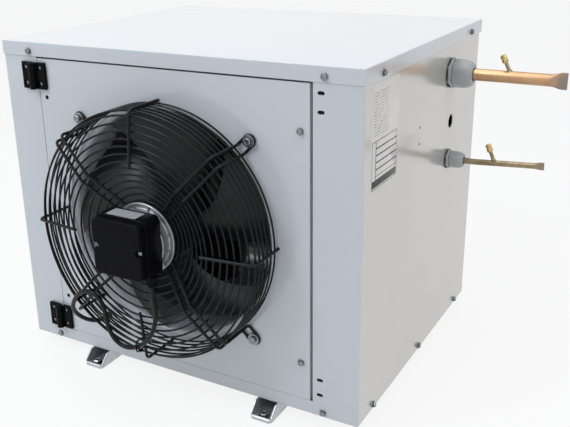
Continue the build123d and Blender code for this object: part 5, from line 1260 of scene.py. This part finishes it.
def access_valve(name, foot, lean, tube):
    """A charging valve brazed on a stub: flared stem, hexagonal nut and knurled cap."""
    tilt = math.radians(lean)
    place = placed(foot, (-math.sin(tilt), 0, math.cos(tilt)), (0, 1, 0))
    top = tube + 16 * MM
    stem = Form().turned(place, [
        (4.4 * MM, tube * 0.90), (3.6 * MM, tube + 0.8 * MM), (3.0 * MM, tube + 2.2 * MM), (2.8 * MM, top - 0.5 * MM),
        (2.8 * MM, top + 1 * MM)], False, 28)
    nut = hexagon(9.0 * MM)
    cap = Form().stack(place, [
        (scaled(nut, share), top + height * MM)
        for share, height in ((0.78, -1.2), (0.97, 0.3), (0.97, 3.4), (0.86, 4.2))])
    knurl = []
    for radius, level in ((3.9, 4.0), (4.6, 4.8), (4.7, 9.6), (4.2, 11.2), (2.9, 12.0)):
        ripple = 0.16 if radius > 4.5 else 0.0
        ring = []
        for k in range(FLUTE_SIDES):
            turn = math.tau * k / FLUTE_SIDES
            reach = (radius - ripple * (k % 2)) * MM
            ring.append((reach * math.cos(turn), reach * math.sin(turn)))
        knurl.append((ring, top + level * MM))
    cap.stack(place, knurl)
    made = joined(f"{name}_access_valve", [
        cap.build("valve_cap", "brass", smooth=20), stem.build("valve_stem", "copper_small")])
    settle(made, "cabinet", "valve_brass", f"service_valve_{name}")


class UNIT_OT_stubs(bpy.types.Operator):
    """Copper stubs, their glands and the brass access valves"""

    bl_idname = "unit.stubs"
    bl_label = "Tube Stubs"

    def execute(self, context):
        sizes = context.scene.unit_pipe
        large, small = PORTS["large"], PORTS["small"]
        start, tip = (corner.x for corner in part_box("suction_stub"))
        tube = Form().skin(stub_rings(
            (start, *large), (1, 0, 0), sizes.suction / 2, tip - start - 24 * MM, 17 * MM, 7 * MM, 3.2 * MM, 26 * MM))
        settle(tube.build("suction_tube", "copper_large", smooth=60), "cabinet", "copper", "suction_stub")

        # The thin tube is bent up a little, where it has left its gland.
        radius = sizes.liquid / 2
        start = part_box("liquid_stub")[0].x
        kink = Vector((SIDE_X + LIQUID_KINK, *small))
        way = Vector((math.cos(math.radians(LIQUID_LEAN)), 0, math.sin(math.radians(LIQUID_LEAN))))
        run = SIDE_X + LIQUID_KINK - start
        straight = stub_rings((start, *small), (1, 0, 0), radius, run, 0, 0, 2 * radius, 2 * radius)[:9]
        bent = stub_rings(
            kink, way, radius, LIQUID_REACH - LIQUID_KINK - 16 * MM, 11 * MM, 5 * MM, 2.4 * MM, 12.5 * MM)[1:]
        tube = Form().skin(straight + bent)
        settle(tube.build("liquid_tube", "copper_small", smooth=60), "cabinet", "copper", "liquid_stub")

        gland("large", sizes.suction / 2 / MM, 15.9, 46.0, 7.0, 42.0, 20.0, 12.6, 38.0)
        gland("small", sizes.liquid / 2 / MM, 9.9, 31.0, 6.0, 26.0, 13.0, 7.6, 28.7)
        nuts = Form()
        for name, flats, thread in (("large", 46.0, 16.0), ("small", 31.0, 10.0)):
            place = placed((SIDE_X - SHEET, *PORTS[name]), (-1, 0, 0), (0, 1, 0))
            outer = hexagon(flats * MM)
            inner = circle(thread * MM, 6)
            nuts.stack(place, [
                (scaled(outer, 0.96), 0), (outer, 0.7 * MM), (outer, 4.2 * MM), (scaled(outer, 0.95), 5 * MM),
                (inner, 5 * MM), (inner, 0)], True)
        settle(nuts.build("gland_nuts", "gland", bevel=0.3 * MM), "cabinet", "gland_grey", "gland_locknuts")

        access_valve("large", Vector((SIDE_X + 96.8 * MM, *large)), VALVE_LEAN, sizes.suction / 2)
        access_valve("small", kink + way * (78.6 * MM - LIQUID_KINK), VALVE_LEAN - LIQUID_LEAN, radius)
        return {"FINISHED"}


# ---- motor cable ----
CABLE_ROUTE = (
    # right of the fan's centre, out from the door, above the fan's centre
    (33.0, 85.0, -49.5), (33.0, 85.0, -78.0), (34.5, 82.5, -102.0), (29.0, 80.5, -126.0), (16.0, 79.0, -150.0),
    (-5.0, 78.0, -170.0), (-29.0, 78.0, -179.0), (-50.0, 79.0, -172.0), (-61.0, 80.5, -152.5), (-63.0, 82.0, -130.0),
    (-67.0, 82.5, -108.0), (-83.0, 83.0, -95.0), (-105.0, 82.0, -96.5), (-125.0, 79.0, -114.0), (-140.0, 73.0, -137.0),
    (-144.5, 60.0, -157.0), (-140.5, 44.0, -173.0), (-133.5, 27.0, -182.0), (-131.0, 11.0, -184.3),
    (-131.0, -4.0, -184.3),
)


class UNIT_OT_cable(bpy.types.Operator):
    """Motor cable with its gland, tie, grommet and plug"""

    bl_idname = "unit.cable"
    bl_label = "Motor Cable"

    def execute(self, context):
        curve = bpy.data.curves.new("motor_lead", "CURVE")
        curve.dimensions = "3D"
        spline = curve.splines.new("NURBS")
        spline.points.add(len(CABLE_ROUTE) - 1)
        for point, (x, out, z) in zip(spline.points, CABLE_ROUTE):
            point.co = (FAN_X + x * MM, FACE_Y - out * MM, FAN_Z + z * MM, 1.0)
        spline.order_u = 3
        spline.use_endpoint_u = True
        spline.resolution_u = 10
        curve.bevel_depth = 3.5 * MM
        curve.bevel_resolution = 4
        curve.use_fill_caps = True
        curve.materials.append(MATERIALS["cable"])
        lead = bpy.data.objects.new("motor_lead", curve)
        context.scene.collection.objects.link(lead)
        settle(lead, "door", "cable_black", "motor_cable")

        gland_x = FAN_X + 33 * MM
        down = placed((gland_x, FACE_Y - 85 * MM, BOX_LOW.z), (0, 0, -1), (1, 0, 0))
        gland = Form()
        nut = hexagon(17 * MM)
        gland.stack(down, [(scaled(nut, 0.96), 0), (nut, 0.6 * MM), (nut, 7.2 * MM), (scaled(nut, 0.95), 8 * MM)])
        dome = [(8.0, 8.0), (8.0, 13.0), (7.4, 15.4), (6.0, 17.2), (4.6, 18.0), (3.55, 18.0), (3.55, 8.0)]
        gland.turned(down, mm(*dome), True, 40)
        for k in range(16):
            rib = down @ Matrix.Rotation(math.tau * k / 16, 4, "Z")
            outline = mm((7.8, -0.5), (8.5, -0.4), (8.5, 0.4), (7.8, 0.5))
            gland.stack(rib, [(outline, 8.6 * MM), (outline, 12.6 * MM)])
        settle(gland.build("cable_gland_nut", "plastic", bevel=0.2 * MM, segments=1), "door", "box_black",
               "motor_cable_gland")

        centre = (FAN_X - 131 * MM, FACE_Y, FAN_Z - 184.3 * MM)
        out = placed(centre, (0, -1, 0), (1, 0, 0))
        profile = [(3.52, 2.5), (5.6, 2.5), (6.9, 2.0), (7.5, 1.0), (7.5, 0.0), (5.5, 0.0), (5.5, -1.5), (7.5, -1.5),
                   (7.5, -2.6),
                   (6.8, -3.6), (5.6, -4.0), (3.52, -4.0)]
        grommet = Form().turned(out, mm(*profile), True, 40)
        settle(grommet.build("door_grommet", "rubber"), "door", "mount_rubber", "cable_grommet")

        plug = Form()
        shell = rounded(15 * MM, 15 * MM, 2.2 * MM, 4)
        plug.stack(out, [(scaled(shell, 0.92), -4 * MM), (shell, -5 * MM), (shell, -22 * MM),
                         (scaled(shell, 0.93), -22.5 * MM),
                         (scaled(shell, 0.93), -29.2 * MM), (scaled(shell, 0.86), -30 * MM)])
        latch = mm((-2.5, 6.8), (2.5, 6.8), (2.5, 7.5), (-2.5, 7.5))
        plug.stack(out, [(latch, -8 * MM), (latch, -20 * MM)])
        settle(plug.build("lead_plug", "plastic", bevel=0.2 * MM, segments=1), "door", "box_black", "cable_plug")

        low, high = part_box("cable_tie")
        width = 2.6 * MM
        x_start = low.x + 1.2 * MM
        centre_y = (low.y + high.y) / 2
        loop_low_z = low.z + 2.6 * MM
        centre_z = (loop_low_z + high.z) / 2
        depth, height = high.y - low.y, high.z - loop_low_z
        tie_place = placed((x_start, centre_y, centre_z), (1, 0, 0), (0, 1, 0))
        outer = rounded(depth, height, 4 * MM, 5)
        inner = rounded(depth - 2.4 * MM, height - 2.4 * MM, 2.8 * MM, 5)
        tie = Form().stack(tie_place, [(outer, 0), (outer, width), (inner, width), (inner, 0)], True)
        head = [(-2.6 * MM, -height / 2 - 2.5 * MM), (2.6 * MM, -height / 2 - 2.5 * MM),
                (2.6 * MM, -height / 2 + 0.1 * MM), (-2.6 * MM, -height / 2 + 0.1 * MM)]
        tie.stack(tie_place, [(head, -1.1 * MM), (head, width + 1.1 * MM)])
        settle(tie.build("lead_tie", "plastic", bevel=0.2 * MM, segments=1), "door", "tie_black", "cable_tie")
        return {"FINISHED"}


# ---- coil ----
class UNIT_OT_coil(bpy.types.Operator):
    """Condenser coil: fins, tubes and return bends"""

    bl_idname = "unit.coil"
    bl_label = "Condenser Coil"

    def execute(self, context):
        sizes = context.scene.unit_coil
        low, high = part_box("condenser_fins")
        count = int((high.x - low.x) / sizes.fin_pitch)
        fins = grown("fin_block", bpy.data.meshes.new("fins"), "row", {
            "Count": count, "Pitch": (high.x - low.x - sizes.fin_thickness) / (count - 1),
            "Plate Size": (sizes.fin_thickness, high.y - low.y, high.z - low.z),
            "Start": (low.x + sizes.fin_thickness / 2, (low.y + high.y) / 2, (low.z + high.z) / 2),
            "Material": MATERIALS["fins"]})
        y = (low.y + high.y) / 2
        rows = [low.z + COIL_PITCH * (k + 0.5) for k in range(COIL_ROWS)]
        tubes = [([((low.x, y, z), 0.0), ((high.x, y, z), 0.0)], False) for z in rows]
        core = swept("core_tubes", tubes, sizes.tube, "copper", 12)
        settle(joined("coil_core", [fins, core]), "cabinet", "coil_aluminium", "condenser_fins")
        for name, x, out, first in (("left", low.x - SHEET, -1, 0), ("right", high.x + SHEET, 1, 1)):
            chains = []
            for k in range(first, COIL_ROWS - 1, 2):
                reach = x + out * 12.5 * MM
                chains.append(([((x - out * SHEET, y, rows[k]), 0), ((reach, y, rows[k]), 12.4 * MM),
                                ((reach, y, rows[k + 1]), 12.4 * MM), ((x - out * SHEET, y, rows[k + 1]), 0)], False))
            bends = swept("coil_bends_" + name, chains, sizes.tube, "copper", 14, 8)
            settle(bends, "cabinet", "copper", "condenser_bends_" + name)
        return {"FINISHED"}


# ---- compressor, receiver and pipes ----
COMPRESSOR = (120 * MM, -264 * MM, 47.5 * MM)
RECEIVER = (-150 * MM, -160 * MM)
TERMINAL_Z = 177.5 * MM


class UNIT_OT_machine(bpy.types.Operator):
    """Compressor, receiver, drier and the pipes between them"""

    bl_idname = "unit.machine"
    bl_label = "Compressor and Receiver"

    def execute(self, context):
        cx, cy, foot = COMPRESSOR
        axis = Matrix.Translation((cx, cy, foot))
        profile = [(10, 0), (52, 0)] + [(52 + 26 * s, 26 - 26 * c) for c, s in quarter(6)]
        profile += [(78, 96), (79.0, 97), (79.0, 103), (78, 104), (78, 150)]
        profile += [(14 + 64 * c ** 0.8, 150 + 40 * s ** 1.2) for c, s in quarter(10)]
        shell = Form().turned(axis, [(r * MM * 0.985, z * MM) for r, z in profile], False, 96)
        shell.turned(Matrix.Translation((cx, cy, foot + 188 * MM)), mm((13, 0), (13, 9), (11.5, 12)), False, 32)
        side = placed((cx + 70 * MM, cy, TERMINAL_Z), (1, 0, 0), (0, 1, 0))
        shell.turned(side, mm((13, 0), (12, 14), (9, 18)), False, 32)
        settle(shell.build("compressor_body", "vessel", smooth=40), "cabinet", "compressor_black", "compressor_shell")

        base = Form()
        plate = rounded(190 * MM, 150 * MM, 20 * MM, 6)
        base.stack(Matrix.Translation((cx, cy, 43.5 * MM)), [(plate, 0), (plate, 4 * MM)])
        settle(base.build("compressor_feet", "vessel", bevel=0.6 * MM), "cabinet", "compressor_black",
               "compressor_base")
        mounts = Form()
        grommet = mm((13, 0), (14, 1), (14, 5), (10.5, 8), (10.5, 12), (12.4, 15), (12.0, 20))
        for dx in (-75, 75):
            for dy in (-55, 55):
                at = Matrix.Translation((cx + dx * MM, cy + dy * MM, 23.5 * MM))
                mounts.turned(at, grommet, False, 32)
        settle(mounts.build("compressor_grommets", "rubber"), "cabinet", "mount_rubber", "compressor_mounts")
        low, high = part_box("compressor_cover")
        cover = Form()
        outline = rounded(high.x - low.x, high.z - low.z, 6 * MM, 5)
        front = placed(((low.x + high.x) / 2, high.y, (low.z + high.z) / 2), (0, -1, 0), (1, 0, 0))
        deep = high.y - low.y
        cover.stack(front, [(outline, 0.5 * MM), (outline, deep - 5 * MM), (scaled(outline, 0.92), deep - 1.5 * MM),
                            (scaled(outline, 0.84), deep)])
        settle(cover.build("compressor_terminals", "plastic", bevel=0.3 * MM), "cabinet", "box_black",
               "compressor_cover")

        rx, ry = RECEIVER
        profile = [(8, 23.5), (42, 23.5), (42, 25), (39, 26), (39, 42)]
        profile += [(36 + 21 * s, 63.5 - 22 * c) for c, s in quarter(6, 0)] + [(57, 280)]
        profile += [(18 + 39 * c ** 0.8, 282 + 24 * s) for c, s in quarter(8)]
        tank = Form().turned(Matrix.Translation((rx, ry, 0)), mm(*profile), False, 96)
        boss = placed((rx, ry + 50 * MM, 86.5 * MM), (0, 1, 0), (1, 0, 0))
        tank.turned(boss, mm((12, 0), (12, 10), (9, 13)), False, 28)
        valve = Form()
        block = rounded(24 * MM, 24 * MM, 2 * MM, 3)
        valve.stack(Matrix.Translation((rx, ry, 303 * MM)), [(block, 0), (block, 36 * MM),
                                                             (scaled(block, 0.9), 37.1 * MM)])
        made = joined("receiver_tank", [tank.build("tank", "vessel", smooth=40),
                                        valve.build("receiver_valve", "brass", bevel=0.6 * MM)])
        settle(made, "cabinet", "vessel_black", "liquid_receiver")

        low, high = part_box("filter_drier")
        place = placed((low.x, (low.y + high.y) / 2, (low.z + high.z) / 2), (1, 0, 0), (0, 1, 0))
        length = (high.x - low.x) / MM
        profile = [(5.0, 0), (6.26, 0.5), (6.3, 3), (9, 7), (17, 12), (21, 17), (22, 21), (22, length - 21),
                   (21, length - 17), (17, length - 12),
                   (9, length - 7), (6.3, length - 3), (6.26, length - 0.5), (5.0, length)]
        drier = Form().turned(place, mm(*profile), False, 64)
        settle(drier.build("drier_shell", "drier", smooth=40), "cabinet", "drier_paint", "filter_drier")

        header_x = SIDE_X - 30 * MM
        coil_low, coil_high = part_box("condenser_fins")
        coil_y = (coil_low.y + coil_high.y) / 2
        top_row = coil_low.z + COIL_PITCH * (COIL_ROWS - 0.5)
        low_row = coil_low.z + COIL_PITCH / 2
        right = coil_high.x + SHEET
        port_y, port_z = PORTS["large"]
        line_z = low_row + 22 * MM
        line_y = ry + 57 * MM + 6 * MM + 20 * MM
        for name, node, diameter, points in (
            ("suction_pipe", "suction_line", 19.05, [
                ((cx, cy, 247.5 * MM), 0), ((cx, cy, port_z), 30), ((cx, port_y, port_z), 30),
                ((SIDE_X - 80 * MM, port_y, port_z), 0)]),
            ("discharge_pipe", "discharge_line", 10.0, [
                ((cx + 88 * MM, cy, TERMINAL_Z), 0), ((header_x, cy, TERMINAL_Z), 20), ((header_x, cy, top_row), 20),
                ((header_x, coil_y, top_row), 20), ((right - SHEET, coil_y, top_row), 0)]),
            ("condensate_pipe", "condensate_line", 9.52, [
                ((right - SHEET, coil_y, low_row), 0), ((header_x, coil_y, low_row), 10),
                ((header_x, line_y, line_z), 10),
                ((rx, line_y, line_z), 10), ((rx, ry + 60 * MM, line_z), 0)]),
            ("receiver_pipe", "receiver_line", 9.52, [
                ((rx + 10 * MM, ry, PORTS["small"][1]), 0),
                ((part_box("filter_drier")[0].x + 1 * MM, ry, PORTS["small"][1]), 0)]),
        ):
            chain = [(Vector(point), bend * MM) for point, bend in points]
            settle(swept(name, [(chain, False)], diameter * MM, "copper", 20, 8), "cabinet", "copper", node)
        return {"FINISHED"}


# ---- sheet metal ----
class UNIT_OT_cabinet(bpy.types.Operator):
    """Casing, door, feet and the electrical box: softened sheet edges and finishes"""

    bl_idname = "unit.cabinet"
    bl_label = "Cabinet"

    def execute(self, context):
        edge = context.scene.unit_cabinet.edge
        for node, name, body in (
                ("lid", "casing_lid", "cabinet"), ("side_panel_left", "casing_side_left", "cabinet"),
                ("side_panel_right", "casing_side_right", "cabinet"), ("base_pan", "casing_base", "cabinet"),
                ("rear_top_rail", "casing_rail", "cabinet"), ("door_panel", "fan_door", "door")):
            made = softened_copy(node, name, "paint", body, "cabinet_paint", edge * 0.6)
            if "side_panel" in node:
                # The broad outer face of a side gets a warmer, more metallic copy of the paint. This is painted warm
                # light and reflection on the same painted sheet.
                made.data.materials.append(MATERIALS["satin"])
                for face in made.data.polygons:
                    face.material_index = int(abs(face.normal.x) > 0.7)
        for node in ("foot_left", "foot_right", "condenser_end_plate_left", "condenser_end_plate_right", "control_box",
                     "control_box_cover"):
            softened_copy(node, node + "_sheet", "zinc", "cabinet", "galvanised", 0.3 * MM)
        softened_copy("terminal_block", "terminal_strip", "block", "cabinet", "block_cream", 0.3 * MM)
        for node, material in (("motor_bearings", "steel"), ("hinge_pins", "steel")):
            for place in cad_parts[node].material_slots:
                place.material = MATERIALS[material]
        return {"FINISHED"}


PLATE_CENTRE = (-443 * MM, 439 * MM)
PLATE_SIZE = (96 * MM, 145 * MM)


class UNIT_OT_labels(bpy.types.Operator):
    """The ruled rating plate on the right side, with no words on it"""

    bl_idname = "unit.labels"
    bl_label = "Rating Plate"

    def execute(self, context):
        MATERIALS["plate"] = finish(
            "Rating Plate Foil", (0.86, 0.845, 0.825), (0.78, 0.765, 0.75), (0.22, 0.34), metallic=0.0,
            mottle=(40.0, 4.0, 2.0), grain=(2200.0, 0.01), specular=0.2,
            tint=ruled_plate(PLATE_CENTRE, PLATE_SIZE, 15.0, (0.04, 0.11)))
        place = placed((SIDE_X, *PLATE_CENTRE), (1, 0, 0), (0, 1, 0))
        outline = rounded(*PLATE_SIZE, 2 * MM, 4)
        plate = Form().stack(place, [(outline, -0.05 * MM), (outline, 0.12 * MM), (scaled(outline, 0.998), 0.18 * MM)])
        settle(plate.build("rating_plate", "plate"), "cabinet", "galvanised")
        return {"FINISHED"}


# ---- stage ----
def seen_rays(tree):
    """One for rays that show the background: from the camera, in gloss and through glass."""
    path = put(tree, "ShaderNodeLightPath")
    mirrored = maths(tree, "ADD", path.outputs["Is Camera Ray"], path.outputs["Is Glossy Ray"])
    return maths(tree, "ADD", mirrored, path.outputs["Is Transmission Ray"], clamp=True)


CAMERA_PLACE = (0.6932, -1.4279, 0.7220)
# Azimuth, elevation and roll, in degrees.
CAMERA_TURNS = (30.51, 19.29, -1.28)
CAMERA_SHIFT = (0.0458, -0.0332)
LIGHT_TARGET = Vector((0.0, -0.26, 0.28))


class UNIT_OT_stage(bpy.types.Operator):
    """Floor, soft lamps and camera"""

    bl_idname = "unit.stage"
    bl_label = "Stage"

    def execute(self, context):
        look = context.scene.unit_studio
        scene = context.scene
        scene.view_settings.view_transform = "Standard"

        world = bpy.data.worlds.new("Room")
        scene.world = world
        world.use_nodes = True
        tree = world.node_tree
        tree.nodes.clear()
        lit = put(tree, "ShaderNodeBackground", {"Color": (0.93, 0.96, 1.0, 1), "Strength": look.world})
        seen = put(tree, "ShaderNodeBackground", {"Color": (1, 1, 1, 1), "Strength": 1.0})
        mix = put(tree, "ShaderNodeMixShader", {0: seen_rays(tree), 1: lit.outputs[0], 2: seen.outputs[0]})
        out = put(tree, "ShaderNodeOutputWorld")
        tree.links.new(mix.outputs[0], out.inputs[0])

        mesh = bpy.data.meshes.new("floor")
        mesh.from_pydata([(-9, -9, 0), (9, -9, 0), (9, 9, 0), (-9, 9, 0)], [], [(0, 1, 2, 3)])
        floor = bpy.data.objects.new("floor", mesh)
        scene.collection.objects.link(floor)
        material = bpy.data.materials.new("Pale Floor")
        material.use_nodes = True
        nodes = material.node_tree
        shader = nodes.nodes["Principled BSDF"]
        shader.inputs["Base Color"].default_value = (*look.floor, 1)
        shader.inputs["Roughness"].default_value = 0.9
        glow = put(nodes, "ShaderNodeEmission", {"Color": (1, 1, 1, 1), "Strength": 1.0})
        share = maths(nodes, "MULTIPLY", seen_rays(nodes), look.white)
        both = put(nodes, "ShaderNodeMixShader", {0: share, 1: shader.outputs[0], 2: glow.outputs[0]})
        nodes.links.new(both.outputs[0], nodes.nodes["Material Output"].inputs["Surface"])
        mesh.materials.append(material)

        for name, power, spot, size, colour in (
                ("top_softbox", look.top, (-0.3, -0.5, 2.3), 2.2, (1.0, 1.0, 1.0)),
                ("key_softbox", look.front, (-0.9, -1.9, 2.1), 0.7, (0.86, 0.94, 1.0)),
                ("side_softbox", look.side, (2.2, -0.3, 1.9), 0.9, (1.0, 0.95, 0.90))):
            lamp = bpy.data.lights.new(name, "AREA")
            lamp.shape = "SQUARE"
            lamp.size = size
            lamp.energy = power
            lamp.color = colour
            holder = bpy.data.objects.new(name, lamp)
            holder.location = spot
            holder.rotation_euler = (LIGHT_TARGET - Vector(spot)).to_track_quat("-Z", "Y").to_euler()
            scene.collection.objects.link(holder)

        azimuth, elevation, roll = (math.radians(turn) for turn in CAMERA_TURNS)
        level = math.cos(elevation)
        back = Vector((math.sin(azimuth) * level, -math.cos(azimuth) * level, math.sin(elevation)))
        right = (-back).cross(Vector((0, 0, 1))).normalized()
        up = right.cross(-back)
        turned_right = right * math.cos(roll) + up * math.sin(roll)
        turned_up = -right * math.sin(roll) + up * math.cos(roll)
        data = bpy.data.cameras.new("camera")
        data.lens = look.lens
        data.sensor_width = 36.0
        data.shift_x, data.shift_y = CAMERA_SHIFT
        data.clip_start = 0.02
        camera = bpy.data.objects.new("camera", data)
        camera.matrix_world = Matrix.Translation(CAMERA_PLACE) @ Matrix(
            (turned_right, turned_up, back)).transposed().to_4x4()
        scene.collection.objects.link(camera)
        scene.camera = camera
        return {"FINISHED"}


class UNIT_PT_panel(bpy.types.Panel):
    """Lists the pieces of the condensing unit"""

    bl_idname = "UNIT_PT_panel"
    bl_label = "Condensing Unit"
    bl_space_type = "VIEW_3D"
    bl_region_type = "UI"
    bl_category = "Condensing Unit"

    def draw(self, context):
        for group in ("unit_cabinet", "unit_guard", "unit_fan", "unit_pipe", "unit_coil", "unit_studio"):
            settings = getattr(context.scene, group)
            column = self.layout.column(align=True)
            for name in settings.__annotations__:
                column.prop(settings, name)
        for operator in OPERATORS:
            self.layout.operator(operator.bl_idname)


SETTINGS = {
    "unit_cabinet": CabinetLook, "unit_guard": GuardSizes, "unit_fan": FanSizes,
    "unit_pipe": PipeLook, "unit_coil": CoilSizes, "unit_studio": StudioLook,
}
OPERATORS = (
    UNIT_OT_stage, UNIT_OT_cable, UNIT_OT_cabinet, UNIT_OT_guard, UNIT_OT_fan, UNIT_OT_terminal_box, UNIT_OT_hinges,
    UNIT_OT_fasteners, UNIT_OT_stubs, UNIT_OT_coil, UNIT_OT_machine, UNIT_OT_labels,
)


def register():
    """Add the settings, operators and panel."""
    for name, group in SETTINGS.items():
        bpy.utils.register_class(group)
        setattr(bpy.types.Scene, name, PointerProperty(type=group))
    for item in OPERATORS + (UNIT_PT_panel,):
        bpy.utils.register_class(item)


def unregister():
    """Remove them again."""
    for item in reversed(OPERATORS + (UNIT_PT_panel,)):
        bpy.utils.unregister_class(item)
    for name, group in SETTINGS.items():
        delattr(bpy.types.Scene, name)
        bpy.utils.unregister_class(group)


def main():
    """Build every piece."""
    register()
    MATERIALS.update(make_materials(bpy.context.scene))
    for operator in OPERATORS:
        group, name = operator.bl_idname.split(".")
        getattr(getattr(bpy.ops, group), name)()
    bpy.context.view_layer.update()


if __name__ == "__main__":
    main()
